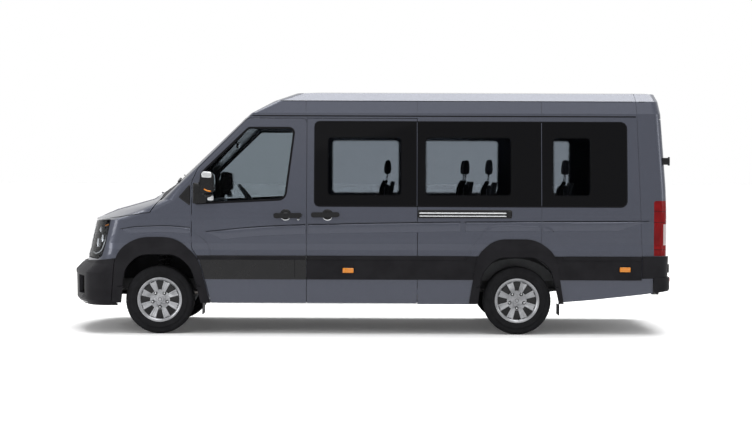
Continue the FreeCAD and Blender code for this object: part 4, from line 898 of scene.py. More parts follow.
def makeWheels():
    hub, places = corners()
    made = [makeTyre(hub)] + makeWheelFace(hub) + [makeBrake(hub), makeShield(hub)]
    caliper = makeCaliper(hub)
    for name, body, along, mirror in places:
        if name == "front_left":
            continue
        words = "".join(word.capitalize() for word in name.split("_"))
        for piece in made:
            twin = copied(piece, piece.name.replace("FrontLeft", "") + words, body, along, mirror)
            if piece is made[0]:
                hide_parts("tyre_" + name)
        if name == "front_right":
            copied(caliper, "caliperRight", "steering_right", 0, True)
    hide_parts("tyre_front_left")


makeWheels()
print("wheels made")


# Side details: window seals, trims, handles, rails, markers and seams

black, rubber = finishes["gloss_black"], sealRubber
cladding = finishes["black_cladding"]


def makeSideSeals():
    door = outlineOf("front_door_glass_left", "left", grow=-0.006)
    seal = ribbon("frontDoorSealLeft", door, 0.022, 0.004, "left", ("front_door_left", "front_door_glass_left"),
                  rubber, closed=True, body="front_door_left")
    onBothSides(seal)
    band = outlineOf("side_glass_left", "left", count=260, grow=0.002)
    edge = ribbon("glassBandSealLeft", band, 0.013, 0.0025, "left",
                  ("side_glass_left", "sliding_door", "body_side_left"), rubber, closed=True)
    onBothSides(edge)


def makeQuarterTrim():
    shape = roundedOutline([(-1.99, 1.432, 0.012), (-1.866, 1.578, 0.012), (-1.866, 1.34, 0.012)], 72)
    trim = pad("quarterTrimLeft", shape, 0.004, "left", ("body_side_left", "wing_left"), black, rim=0.2)
    onBothSides(trim)
    shape = roundedOutline([(-1.842, 1.59, 0.02), (-1.842, 1.366, 0.015), (-1.7, 1.366, 0.015), (-1.716, 1.56, 0.03)],
                           72)
    foot = pad("mirrorPlateLeft", shape, 0.006, "left", ("front_door_left", "front_door_glass_left"), black, rim=0.2,
               body="front_door_left")
    onBothSides(foot)


# Handles: (name, body, middle of the dish, ends of the grip), all at one height.
handleLook = {
    "height": 1.252,
    "dish": 0.06,
    "rows": (("frontDoorHandleLeft", "front_door_left", -0.868, (-0.996, -0.696), ("front_door_left",)),
             ("slidingHandleLeft", "body", -0.43, (-0.602, -0.302), ("sliding_door",))),
}


def makeHandle(name, body, middle, ends, nodes):
    # a round dish, a grip that swells over it, and a bright crescent along the dish's lower edge
    height = handleLook["height"]
    turn = np.linspace(0, 2 * np.pi, 48, endpoint=False)
    ring = np.stack([middle + handleLook["dish"] * np.cos(turn), height + handleLook["dish"] * np.sin(turn)], 1)
    dish = pad(name + "Dish", ring, 0.006, "left", nodes, black, rim=0.18, dish=0.004, body=body)
    line = np.stack([np.linspace(ends[0], ends[1], 41), np.full(41, height)], 1)
    share = np.linspace(-1, 1, 41)
    offset = (middle - (ends[0] + ends[1]) / 2) / (ends[1] - ends[0]) * 2
    swell = 0.034 + 0.02 * np.exp(-((share - offset) / 0.22) ** 2)
    width = swell * np.clip(np.sqrt(np.clip(1 - share ** 2, 0, 1)) * 2.2, 0.15, 1)
    grip = ribbon(name + "Grip", line, width, 0.031, "left", nodes, black, body=body)
    arc = np.linspace(np.pi * 1.17, np.pi * 1.83, 25)
    line = np.stack([middle + 0.054 * np.cos(arc), height + 0.054 * np.sin(arc)], 1)
    width = 0.011 * np.sin(np.linspace(0.12, np.pi - 0.12, 25)) ** 0.5
    bright = ribbon(name + "Bright", line, width, 0.0115, "left", nodes, chrome, body=body)
    return [dish, grip, bright]


def makeHandles():
    for name, body, middle, ends, nodes in handleLook["rows"]:
        for piece in makeHandle(name, body, middle, ends, nodes):
            if body != "body":
                onBothSides(piece)
    lock = lathe("frontDoorLockLeft", [(0, 0), (0.006, 0.0), (0.0065, 0.009), (0.004, 0.0115), (0, 0.012)],
                 spotOn((-0.735, 1.205), "left", ("front_door_left",)) + (0, 0.002, 0), (0, -1, 0),
                 satinSteel, 24, body="front_door_left")
    onBothSides(lock)


def makeSlideRail():
    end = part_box("slide_rail")[1][0]
    nodes = ("slide_rail", "body_side_left")
    for name, height, width in (("Upper", 1.274, 0.0135), ("Lower", 1.243, 0.0105)):
        line = np.stack([np.linspace(0.53, 1.44, 60), np.full(60, height)], 1)
        ribbon("slideRail" + name, line, width, 0.0075, "left", nodes, satinSteel)
    outline = roundedOutline([(0.518, 1.228, 0.01), (end, 1.228, 0.014), (end, 1.304, 0.014), (0.518, 1.304, 0.01)],
                             120)
    ribbon("slideRailFrame", outline, 0.009, 0.005, "left", nodes, black, closed=True)
    cap = roundedBox(1.446, 1.234, end - 0.004, 1.298, 0.012, 60)
    pad("slideRailCap", cap, 0.007, "left", nodes, black)


# Amber side markers on the moulding: (start, end, low, high).
markers = ((-0.273, -0.151, 0.644, 0.7), (2.623, 2.743, 0.662, 0.716))


def makeMarkers():
    for number, (start, end, low, high) in enumerate(markers):
        shape = roundedBox(start, low, end, high, 0.008, 64)
        nodes = ("cladding_left", "body_side_left")
        lens = pad("marker%dLensLeft" % number, shape, 0.008, "left", nodes, amberLens)
        rim = ribbon("marker%dFrameLeft" % number, shape, 0.007, 0.006, "left", nodes, rubber, closed=True)
        onBothSides(lens)
        onBothSides(rim)


def makeMouldingStrips():
    # the bevelled upper strip of the side moulding, on the door and behind it
    runs = (("Door", -1.79, -0.662, "front_door_left", ("door_fittings_left", "front_door_left")),
            ("Middle", -0.64, 1.02, "body", ("cladding_left", "sliding_door", "body_side_left")),
            ("Rear", 2.03, 2.85, "body", ("cladding_left", "body_side_left")))
    for name, start, end, body, nodes in runs:
        line = np.stack([np.linspace(start, end, 50), np.full(50, 0.8)], 1)
        strip = ribbon("moulding%sLeft" % name, line, 0.036, 0.006, "left", nodes, cladding, flat=True, body=body)
        onBothSides(strip)
    line = np.array([(-0.771, 0.59), (-0.771, 0.7), (-0.771, 0.812)])
    joint = ribbon("mouldingJointLeft", bentLine(line, 0.01, 12), 0.004, 0.0012, "left", ("door_fittings_left",),
                   rubber, body="front_door_left", slot="black_cladding")
    onBothSides(joint)


def makeRoofSeams():
    # the gutter strip between roof and sides, and above it a thin dark line along the roof's fold, which is painted
    # shade
    line = np.stack([np.linspace(-1.245, 2.8, 120), np.full(120, 2.289)], 1)
    gutter = ribbon("gutterLeft", line, 0.012, 0.003, "left",
                    ("roof", "body_side_left", "front_door_left", "sliding_door"), rubber, sink=0.008)
    onBothSides(gutter)
    line = np.stack([np.linspace(-0.93, 2.9, 120), np.full(120, 2.449)], 1)
    # painted shade: the dark line stands for the shadow in the roof's crease, where the real roof has no strip
    fold = ribbon("roofFoldLeft", line, 0.007, 0.0012, "left", ("roof",), rubber)
    onBothSides(fold)


def makeFuelFlap():
    # on the right side only
    shape = roundedBox(0.66, 0.98, 0.85, 1.16, 0.03, 80)
    ribbon("fuelFlapSeam", shape, 0.004, 0.0008, "right", ("body_side_right",), rubber, closed=True)
    pull = roundedBox(0.68, 1.055, 0.705, 1.085, 0.008, 40)
    pad("fuelFlapPull", pull, 0.003, "right", ("body_side_right",), finishes["body_paint"], dish=0.004)


# Folds in the flank: (name, body, points from front to rear, depth of the swell below it, its height).
folds = (
    ("wing", "body", ((-2.6, 1.095), (-2.45, 1.122), (-2.107, 1.134), (-1.868, 1.115)), 0.07, 0.008),
    ("frontDoor", "front_door_left", ((-1.7, 1.073), (-1.143, 1.129), (-0.662, 1.15)),
     0.105, 0.008),
    ("slidingDoor", "body", ((-0.635, 1.151), (0.3, 1.17), (0.96, 1.181)), 0.105, 0.008),
    ("rearSide", "body", ((1.01, 1.182), (2.0, 1.19), (2.93, 1.197)), 0.105, 0.008),
)


def makeFolds():
    # Below a fold the skin swells out by height * sin(pi * t ** 0.55), with t from 0 at the fold to
    # 1 at the swell's foot; at open ends the swell dies away.
    away = np.array((0.0, -1.0, 0.0))
    t = np.linspace(0, 1, 13)
    nodes = ("wing_left", "body_side_left", "front_door_left", "sliding_door", "cladding_left")
    for name, body, points, depth, height in folds:
        line = bentLine(points, 0.3, 90)
        reach = np.ones(90)
        if name in ("wing", "frontDoor"):
            reach = np.clip(np.linspace(0, 6, 90), 0.15, 1)
        if name == "rearSide":
            reach = np.clip(np.linspace(6, 0, 90), 0.15, 1)
        section = np.sin(np.pi * t ** 0.55)
        section[[0, -1]] = -0.15
        rings = [dropOnto(line - np.stack([0 * reach, depth * reach * down], 1), "left", nodes)
                 + away * (height * reach * lift)[:, None] for down, lift in zip(t, section)]
        swell = closedGrid(name + "SwellLeft", np.stack(rings, 1), finishes["body_paint"], body=body)
        onBothSides(swell)
        # painted shade: a thin dark rubber line along each fold stands for the shadow in the crease; the real skin has
        # no strip there
        onBothSides(ribbon(name + "FoldLeft", line + (0, 0.002), 0.006, 0.0012, "left", nodes, rubber, body=body))


def makeSillShields():
    # a dark rail behind the foot of the doors closes the seams against the light below
    line = np.stack([np.linspace(-1.74, 0.98, 60), np.full(60, -0.962), np.full(60, 0.349)], 1)
    onBothSides(sweep("sillShieldLeft", line, 0.017, finishes["chassis_black"], 10, flatten=1.1))


def makeArchLips(hub):
    # A rubber bead inside each wheel arch: it follows the arch's lower edge, found by casting
    # upwards inside the flare.
    tree = skinOf(("cladding_left",))
    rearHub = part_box("tyre_rear_left")[0][0] / 2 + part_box("tyre_rear_left")[1][0] / 2
    for name, middle in (("front", hub[0]), ("rear", rearHub)):
        turn = np.linspace(math.radians(12), math.radians(168), 60)
        found = []
        for angle in turn:
            way = Vector((math.cos(angle), 0, math.sin(angle)))
            hit = tree.ray_cast(Vector((middle, hub[1] - 0.155, hub[2] + 0.05)), way)[0]
            if hit is not None:
                found.append(tuple(hit))
        if len(found) > 10:
            line = evenLine(np.array(found), 70)
            bead = sweep(name + "ArchBeadLeft", line, 0.0065, rubber, 8, up=(0, 1, 0))
            onBothSides(bead)


def makeSides():
    makeSideSeals()
    makeQuarterTrim()
    makeHandles()
    makeSlideRail()
    makeMarkers()
    makeMouldingStrips()
    makeRoofSeams()
    makeFuelFlap()
    makeFolds()
    makeSillShields()
    makeArchLips(corners()[0])


makeSides()
print("sides made")
# Front: headlamps, grille, bumper details, wipers and bonnet

# Places in the front view are (across, up); depths are from the lens inward.
headlampLook = {
    "inset": 0.014,
    "housingDepth": 0.085,
    "bowls": ((-0.615, 0.93, 0.068, 0.052), (-0.77, 0.985, 0.06, 0.052), (-0.655, 1.075, 0.04, 0.04)),
    "guide": ((-0.54, 0.835), (-0.7, 0.822), (-0.86, 0.85), (-0.915, 0.96), (-0.932, 1.145)),
    "signal": ((-0.74, 1.12), (-0.82, 1.128), (-0.905, 1.14)),
}


def onLens(place, inward):
    return spotOn(place, "front", ("headlamps",)) + (inward, 0, 0)


def makeHeadlamp():
    look = headlampLook
    nodes = ("headlamps",)
    outline = outlineOf("headlamps", "front", 120, -look["inset"], part=lambda at: at[:, 1] < 0)
    made = []
    made.append(pad("headlampHousingLeft", outline, -look["housingDepth"], "front", nodes, black, rim=0.22,
                    sink=look["inset"], rings=14))
    for number, (across, up, radius, depth) in enumerate(look["bowls"]):
        centre = onLens((across, up), depth)
        # reflector: a parabola r = R sqrt(t); the ball lens sits in its middle
        t = np.linspace(0.0, 1.0, 10)
        dish = [(-0.03 + 0.034 * k, radius * math.sqrt(k)) for k in t]
        rim = [(0.008, radius + 0.002), (0.006, radius + 0.006), (-0.01, radius + 0.006)]
        made.append(lathe("headlampBowl%dLeft" % number, dish + rim, centre, (-1, 0, 0), chrome, 48,
                          slot="headlamp_lens"))
        ball = [(-0.01, radius * 0.52), (0.004, radius * 0.5), (0.014, radius * 0.4), (0.022, radius * 0.24),
                (0.025, 0.0)]
        made.append(lathe("headlampBall%dLeft" % number, [(-0.02, 0.0)] + ball, centre, (-1, 0, 0), clearLens, 40))
        bezel = [(-0.012, radius * 0.54), (0.005, radius * 0.53), (0.008, radius * 0.6), (-0.012, radius * 0.62)]
        made.append(lathe("headlampBezel%dLeft" % number, bezel, centre, (-1, 0, 0), black, 40))
    flat = bentLine(look["guide"], 0.05, 70)
    guide = dropOnto(flat, "front", nodes) + (0.03, 0.0, 0.0)
    made.append(sweep("headlampGuideLeft", guide, 0.009, lampWhite, 12))
    flat = bentLine(look["signal"], 0.03, 24)
    signal = dropOnto(flat, "front", nodes) + (0.034, 0.0, 0.0)
    made.append(sweep("headlampSignalLeft", signal, 0.01, amberLens, 10, slot="headlamp_lens"))
    rim = outlineOf("headlamps", "front", 140, -0.006, part=lambda at: at[:, 1] < 0)
    made.append(ribbon("headlampRimLeft", rim, 0.01, 0.002, "front", nodes, rubber, closed=True))
    for piece in made:
        onBothSides(piece)


grilleLook = {
    "half": 0.455,
    "low": 0.808,
    "high": 1.112,
    "meshPitch": 0.026,
}


def makeGrille():
    # backing behind the bars and a bright frame round them
    low, high, half = grilleLook["low"], grilleLook["high"], grilleLook["half"]
    parts = []
    count = int((high - low) / grilleLook["meshPitch"])
    for k in range(1, count):
        z = low + k * (high - low) / count
        y = np.linspace(-half, half, 25)
        x = -2.905 + 0.25 * y ** 2 + 0.004 * (k % 2)
        parts.append(sweep("wire", np.stack([x, y, np.full(25, z)], 1), 0.0022, black, 6))
    count = int(2 * half / grilleLook["meshPitch"])
    for k in range(1, count):
        y = -half + k * 2 * half / count
        x = -2.905 + 0.25 * y ** 2 + 0.002
        line = [(x, y, low), (x, y, (low + high) / 2), (x, y, high)]
        parts.append(sweep("wire", line, 0.0022, black, 6, up=(0, 1, 0)))
    joined("grilleBacking", parts)
    frameLine = roundedBox(-half, low, half, high, 0.03, 200)
    ribbon("grilleFrame", frameLine, 0.016, 0.007, "front", ("grille", "wing_left", "wing_right"), satinSteel,
           closed=True)


# Lower intake: slats from side to side, fog lamps in their recesses, and a blank plate.
bumperLook = {
    "slats": (0.405, 0.45, 0.495, 0.54),
    "slatHalf": 0.385,
    "fog": (-0.76, 0.505, 0.052),
    "plate": (0.26, 0.603, 0.712),
    "sensors": ((-0.945, 0.69), (-0.5, 0.665)),
}


def makeBumperDetails():
    nodes = ("front_bumper",)
    slats = []
    for z in bumperLook["slats"]:
        y = np.linspace(-bumperLook["slatHalf"], bumperLook["slatHalf"], 33)
        x = -3.15 + 0.245 * y ** 2
        slats.append(sweep("slat", np.stack([x, y, np.full(33, z)], 1), 0.019, cladding, 10, flatten=0.32))
    for y in (-0.2, 0.0, 0.2):
        x = -3.138 + 0.245 * y ** 2
        slats.append(sweep("slat", [(x, y, 0.362), (x, y, 0.46), (x, y, 0.558)], 0.009, cladding, 8, up=(0, 1, 0)))
    joined("intakeSlats", slats)
    grid = []
    for depth in (0.0, 0.01):
        y, z = np.meshgrid(np.linspace(-0.425, 0.425, 21), np.linspace(0.34, 0.58, 9), indexing="ij")
        grid.append(np.stack([-3.085 + 0.245 * y ** 2 + depth, y, z], 2))
    rings = np.concatenate([grid[0], grid[1][:, ::-1]], 1)
    closedGrid("intakeBacking", rings, black)
    across, up, radius = bumperLook["fog"]
    shape = roundedBox(-0.895, 0.398, -0.625, 0.612, 0.03, 96)
    slope = lambda flat: -2.985 + 0.4 * (np.abs(flat[:, 0]) - 0.64)
    back = [np.column_stack([slope(shape) + depth, shape[:, 0] * 1, shape[:, 1]]) for depth in (0.0, 0.012)]
    middle = np.array([back[0].mean(0)])
    panel = [middle + (back[0] - middle) * k for k in (0.05, 0.5)] + back + \
            [middle + (0.012, 0, 0) + (back[0] - middle) * k for k in (0.5, 0.05)]
    made = [closedGrid("fogPanelLeft", panel, black)]
    edge = dropOnto(shape, "front", nodes) + (0.005, 0, 0)
    inner = [ring * (1, 0.985, 1) for ring in (edge, back[1])]
    made.append(closedGrid("fogHousingLeft", [edge, back[1], inner[1], inner[0]], black, wrapRows=True))
    centre = np.array((slope(np.array([(across, up)]))[0] - 0.004, across, up))
    bowl = [(-0.002, 0.0), (0.002, radius * 0.5), (0.012, radius * 0.85), (0.022, radius), (0.026, radius + 0.004),
            (0.022, radius + 0.009), (0.0, radius + 0.01)]
    made.append(lathe("fogBowlLeft", bowl, centre, (-1, 0, 0), chrome, 48, slot="headlamp_lens"))
    glass = [(0.004, 0.0), (0.021, 0.0), (0.02, radius * 0.6), (0.017, radius * 0.98), (0.012, radius * 0.98)]
    made.append(lathe("fogLensLeft", glass, centre, (-1, 0, 0), clearLens, 48))
    for piece in made:
        onBothSides(piece)
    half, low, high = bumperLook["plate"]
    shape = roundedBox(-half, low, half, high, 0.008, 120)
    pad("frontPlate", shape, 0.006, "front", nodes, plateFace, rim=0.03)
    ribbon("frontPlateFrame", shape, 0.01, 0.009, "front", nodes, black, closed=True)
    for number, place in enumerate(bumperLook["sensors"]):
        spot = spotOn(place, "front", nodes) + (0.002, 0, 0)
        eye = lathe("frontSensor%dLeft" % number, [(0, 0.0105), (0.003, 0.0105), (0.004, 0.009), (0.0035, 0.0)], spot,
                    (-0.92, -0.39 if number == 0 else -0.2, 0), black, 24)
        onBothSides(eye)
    y = np.linspace(-0.9, 0.9, 90)
    ribbon("bumperLip", np.stack([y, np.full(90, 0.322)], 1), 0.014, 0.006, "front", nodes, black, flat=True)
    cover = roundedBox(-0.47, 0.615, -0.4, 0.685, 0.012, 48)
    ribbon("towCoverLine", cover, 0.003, 0.0008, "front", nodes, rubber, closed=True)
    crease = [(-0.925, 0.748), (-0.7, 0.742), (-0.35, 0.738), (0.0, 0.737)]
    line = bentLine(crease, 0.1, 80)
    line = np.vstack([line, (line * (-1, 1))[::-1][1:]])
    ribbon("bumperCrease", line, 0.01, 0.0035, "front", nodes, cladding)


def makeArchFillers():
    # dark webs close the seams between the bumper's ends and the arch mouldings
    place, size = (-2.69, -0.945, 0.362), (0.08, 0.03, 0.124)
    onBothSides(softBlock("archFillerLeft", place, size, finishes["chassis_black"], 8))


def makeWipers():
    # arms rise from the cowl on the driver's side of each half; blades lie along the foot of the glass
    wipers = ((-2.075, 0.62), (-2.02, 0.06), 0.62), ((-2.085, -0.06), (-2.02, -0.56), 0.56)
    for number, (pivot, tip, blade) in enumerate(wipers):
        hub = spotOn(pivot, "top", ("cowl", "windscreen"))
        post = [(-0.01, 0.018), (0.004, 0.018), (0.011, 0.014), (0.014, 0.01), (0.014, 0.0)]
        base = lathe("wiperPost", [(-0.01, 0.0)] + post, hub, (-0.5, 0, 0.86), black, 24)
        flat = np.linspace(pivot, tip, 16)
        arm = dropOnto(flat, "top", ("cowl", "windscreen")) + (-0.006, 0, 0.012)
        arm[0] = hub + (-0.005, 0, 0.01)
        rod = sweep("wiperArm", arm, np.linspace(0.011, 0.006, 16), black, 8, flatten=0.5)
        start = np.array(tip) + (-0.015, blade * 0.42)
        end = np.array(tip) + (0.01, -blade * 0.4)
        end[1] = max(end[1], -0.8)
        run = dropOnto(np.linspace(start, end, 30), "top", ("windscreen", "cowl"))
        edge = sweep("wiperBlade", run + (-0.004, 0, 0.006), 0.0055, rubber, 6)
        spine = sweep("wiperSpine", run + (-0.009, 0, 0.012), 0.0065, black, 8)
        joined("wiper%d" % number, [base, rod, edge, spine])


def makeScreenEdge():
    line = outlineOf("windscreen", "front", 260, -0.02)
    ribbon("windscreenSeal", line, 0.036, 0.0025, "front", ("windscreen",), rubber, closed=True)
    slots = []
    for y in np.arange(-0.7, 0.71, 0.035):
        flat = np.array([(-2.15, y), (-2.13, y), (-2.11, y)])
        slots.append(ribbon("vent", flat, 0.012, 0.0025, "top", ("cowl",), black))
    joined("cowlVents", slots)


def makeBonnetDetails():
    body, nodes = "bonnet", ("bonnet",)
    for side, word in ((-1, "Left"), (1, "Right")):
        flat = bentLine([(-2.86, 0.355 * side), (-2.62, 0.44 * side), (-2.26, 0.52 * side)], 0.1, 50)
        width = 0.03 * np.sin(np.linspace(0.15, np.pi * 0.86, 50)) ** 0.6
        ribbon("bonnetCrease" + word, flat, width, 0.0045, "top", nodes, finishes["body_paint"], sink=0.001, body=body)
        spot = spotOn((-2.235, 0.33 * side), "top", nodes)
        softBlock("washerJet" + word, spot + (0, 0, 0.004), (0.03, 0.018, 0.014), black, 4, 15, body=body)


makeHeadlamp()
makeGrille()
makeBumperDetails()
makeArchFillers()
makeWipers()
makeScreenEdge()
makeBonnetDetails()
print("front made")


# Rear: hinges, handle, plate, seals, high brake lamp, bumper pads, reflectors and sensors

rearLook = {
    "hingeLevels": (1.825, 0.7),
    "hingeAxis": (3.16, -0.908),
    "plateLevels": (0.885, 0.998),
    "stepPads": ((-0.62, -0.2), (-0.12, 0.12), (0.2, 0.62)),
    "reflectors": (-0.93, -0.8, 0.56, 0.602),
    "sensors": ((-0.72, 0.555), (-0.3, 0.555)),
}


def makeRearHinges():
    x, y = rearLook["hingeAxis"]
    for number, level in enumerate(rearLook["hingeLevels"]):
        barrel = [(-0.045, 0.0), (-0.045, 0.009), (-0.043, 0.011), (-0.016, 0.011), (-0.0155, 0.0095),
                  (-0.0145, 0.0095), (-0.014, 0.011), (0.014, 0.011), (0.0145, 0.0095), (0.0155, 0.0095),
                  (0.016, 0.011), (0.043, 0.011), (0.045, 0.009), (0.045, 0.0)]
        pin = lathe("rearHinge%dBarrelLeft" % number, barrel, (x - 0.01, y - 0.018, level), (0, 0, 1),
                    finishes["gloss_black"], 28)
        wall = spotOn((y - 0.03, level), "rear", ("body_side_left", "tail_lamps"))[0]
        middle, size = ((wall + x - 0.01) / 2, y - 0.03, level), (x - wall + 0.006, 0.034, 0.074)
        arm = softBlock("rearHinge%dArmLeft" % number, middle, size, finishes["gloss_black"], 6)
        onBothSides(arm)
        leaf = roundedOutline([(y - 0.006, level - 0.036, 0.008), (y + 0.105, level - 0.022, 0.012),
                               (y + 0.105, level + 0.022, 0.012), (y - 0.006, level + 0.036, 0.008)], 60)
        plate = pad("rearHinge%dLeafLeft" % number, leaf, 0.007, "rear", ("rear_door_left",), finishes["gloss_black"],
                    rim=0.15, body="rear_door_left")
        heads = []
        for across in (y + 0.03, y + 0.08):
            spot = spotOn((across, level), "rear", ("rear_door_left",)) + (0.006, 0, 0)
            heads.append(lathe("head", [(0, 0.009), (0.003, 0.009), (0.0055, 0.006), (0.0055, 0.0)], spot, (1, 0, 0),
                               finishes["gloss_black"], 6, body="rear_door_left"))
        bolts = joined("rearHinge%dBoltsLeft" % number, heads)
        onBothSides(pin)
        onBothSides(plate)
        onBothSides(bolts)


def makeRearDoors():
    # window seals, wires of the demister, the pull handle and its lock, and the meeting strip
    for side, word in ((-1, "left"), (1, "right")):
        body, title = "rear_door_" + word, word.capitalize()
        nodes = ("rear_door_glass_" + word, "rear_door_" + word)
        line = outlineOf("rear_door_glass_" + word, "rear", 200, -0.004)
        ribbon("rearWindowSeal" + title, line, 0.024, 0.0035, "rear", nodes, rubber, closed=True, body=body)
        wires = []
        for z in np.arange(1.45, 2.08, 0.05):
            flat = np.stack([np.linspace(0.11 * side, 0.8 * side, 8), np.full(8, z)], 1)
            wires.append(ribbon("wire", flat, 0.0012, 0.0003, "rear", nodes, amberWire, sink=0.0002, body=body))
        joined("demister" + title, wires)
        y = np.array([0.075, 0.835]) * side
        press = roundedBox(y[0], 0.7, y[1], 0.84, 0.05, 140)
        ribbon("rearPressing" + title, press, 0.012, 0.0035, "rear", nodes, finishes["body_paint"], closed=True,
               body=body)
        check = bentLine([(0.05 * side, 1.325), (0.45 * side, 1.318), (0.87 * side, 1.325)], 0.1, 40)
        ribbon("rearWaistLine" + title, check, 0.014, 0.004, "rear", nodes, finishes["body_paint"], body=body)
    nodes = ("rear_door_right",)
    shape = roundedBox(0.03, 1.085, 0.205, 1.165, 0.02, 96)
    pad("rearHandleDish", shape, 0.006, "rear", nodes, black, rim=0.12, dish=0.004, body="rear_door_right")
    line = bentLine([(0.045, 1.125), (0.12, 1.13), (0.192, 1.125)], 0.02, 30)
    ribbon("rearHandleGrip", line, 0.026 * np.sin(np.linspace(0.5, np.pi - 0.5, 30)) ** 0.5, 0.022, "rear", nodes,
           black, body="rear_door_right")
    spot = spotOn((0.225, 1.125), "rear", nodes)
    lathe("rearLock", [(-0.002, 0.0), (-0.002, 0.011), (0.004, 0.011), (0.006, 0.008), (0.006, 0.0)], spot, (1, 0, 0),
          satinSteel, 24, body="rear_door_right")
    low, high = rearLook["plateLevels"]
    nodes, body = ("rear_door_left",), "rear_door_left"
    shape = roundedBox(-0.58, low, -0.06, high, 0.008, 120)
    pad("rearPlate", shape, 0.006, "rear", nodes, plateFace, rim=0.03, body=body)
    ribbon("rearPlateFrame", shape, 0.01, 0.009, "rear", nodes, black, closed=True, body=body)
    bar = roundedBox(-0.6, 1.018, -0.04, 1.062, 0.014, 120)
    pad("plateLampBar", bar, 0.026, "rear", nodes, black, rim=0.5, body=body)
    for number, across in enumerate((-0.46, -0.18)):
        spot = spotOn((across, 1.022), "rear", nodes)
        softBlock("plateLamp%d" % number, spot + (0.014, 0, 0), (0.016, 0.06, 0.012), clearLens, 4, body=body)
    line = np.stack([np.full(40, 0.0115), np.linspace(0.66, 2.24, 40)], 1)
    ribbon("rearDoorStrip", line, 0.015, 0.002, "rear", ("rear_door_right", "rear_door_left"), rubber, sink=0.001,
           body="rear_door_right")


def makeRearBody():
    nodes = ("roof",)
    shape = roundedBox(-0.19, 2.318, 0.19, 2.352, 0.012, 120)
    pad("highBrakeLamp", shape, 0.01, "rear", nodes, redLens, rim=0.25)
    ribbon("highBrakeLampFrame", shape, 0.008, 0.008, "rear", nodes, black, closed=True)
    spot = spotOn((0.0, 2.395), "rear", nodes)
    softBlock("rearCamera", spot + (0.004, 0, 0), (0.045, 0.05, 0.034), black, 4)
    lathe("rearCameraEye", [(-0.004, 0.0), (-0.004, 0.009), (0.003, 0.009), (0.0045, 0.006), (0.005, 0.0)],
          spot + (0.024, 0, -0.006), (0.86, 0, -0.5), mirrorGlass, 24)
    nodes = ("rear_bumper",)
    for number, (start, end) in enumerate(rearLook["stepPads"]):
        y = np.linspace(start, end, 20)
        ribbon("bumperPad%d" % number, np.stack([3.184 - 0.0417 * y ** 2, y], 1), 0.016, 0.003, "top", nodes, rubber,
               flat=True, slot="black_cladding")
    y0, y1, low, high = rearLook["reflectors"]
    shape = roundedBox(y0, low, y1, high, 0.008, 72)
    lens = pad("rearReflectorLeft", shape, 0.007, "rear", nodes, redLens, rim=0.2)
    onBothSides(lens)
    for number, place in enumerate(rearLook["sensors"]):
        spot = spotOn(place, "rear", nodes)
        eye = lathe("rearSensor%dLeft" % number, [(-0.002, 0.0), (-0.002, 0.011), (0.002, 0.0105), (0.0025, 0.0)],
                    spot, (1, 0, 0), black, 24)
        onBothSides(eye)
    y = np.linspace(-0.98, 0.98, 90)
    ribbon("rearBumperFold", np.stack([y, np.full(90, 0.488)], 1), 0.01, 0.004, "rear", nodes, cladding)


makeRearHinges()
makeRearDoors()
makeRearBody()
print("rear made")


# Door mirrors: glass, bright cap, indicator and folding joint

def makeMirror():
    body = "front_door_left"
    upper = roundedBox(-1.226, 1.56, -1.064, 1.684, 0.03, 80)
    lower = roundedBox(-1.226, 1.49, -1.064, 1.545, 0.022, 80)
    nodes = ("door_fittings_left",)
    made = []
    for word, shape in (("Upper", upper), ("Wide", lower)):
        made.append(pad("mirror%sLeft" % word, shape, 0.0035, "rear", nodes, mirrorGlass, rim=0.06, body=body))
        made.append(ribbon("mirror%sRimLeft" % word, shape, 0.007, 0.006, "rear", nodes, black, closed=True, body=body))
    # the bright cap wraps the front of the head: a patch of the side view laid on its outer face
    cap = roundedOutline([(-1.728, 1.64, 0.02), (-1.622, 1.636, 0.02), (-1.622, 1.692, 0.02), (-1.724, 1.698, 0.02)],
                         72)
    made.append(pad("mirrorCapLeft", cap, 0.004, "left", nodes, satinSteel, rim=0.2, body=body))
    top = roundedBox(-1.728, -1.222, -1.622, -1.068, 0.02, 72)
    made.append(pad("mirrorTopLeft", top, 0.003, "top", nodes, satinSteel, rim=0.2, body=body))
    strip = bentLine([(-1.7, 1.52), (-1.66, 1.5), (-1.628, 1.498)], 0.02, 20)
    made.append(ribbon("mirrorRepeaterLeft", strip, 0.013, 0.004, "left", nodes, amberLens, body=body))
    made.append(softBlock("mirrorLampLeft", (-1.64, -1.15, 1.428), (0.07, 0.09, 0.06), clearLens, 3.5,
                          taper=(0.8, 1.0), body=body))
    made.append(softBlock("mirrorLampHolderLeft", (-1.662, -1.145, 1.452), (0.085, 0.105, 0.05), black, 4, body=body))
    # two arms carry the head; a round cover hides the folding joint
    for word, z in (("Low", 1.465), ("High", 1.585)):
        line = bentLine([(-1.77, -1.028, z), (-1.745, -1.062, z), (-1.7, -1.085, z + 0.004)], 0.02, 12)
        made.append(sweep("mirrorArm%sLeft" % word, line, 0.016, black, 12, flatten=0.6, body=body))
    made.append(lathe("mirrorPivotLeft", [(-0.074, 0.0), (-0.074, 0.014), (0.074, 0.014), (0.078, 0.01),
                                          (0.078, 0.0)], (-1.752, -1.052, 1.525), (0, 0, 1), black, 28, body=body))
    seam = roundedOutline([(-1.742, 1.478, 0.03), (-1.612, 1.486, 0.03), (-1.616, 1.622, 0.03), (-1.735, 1.628, 0.03)],
                          100)
    made.append(ribbon("mirrorSeamLeft", seam, 0.003, 0.0009, "left", nodes, rubber, closed=True, body=body))
    for piece in made:
        onBothSides(piece)


makeMirror()
print("mirrors made")


# Interior: seats with simulated padding, belts, dashboard, lining, trims, mat and rails

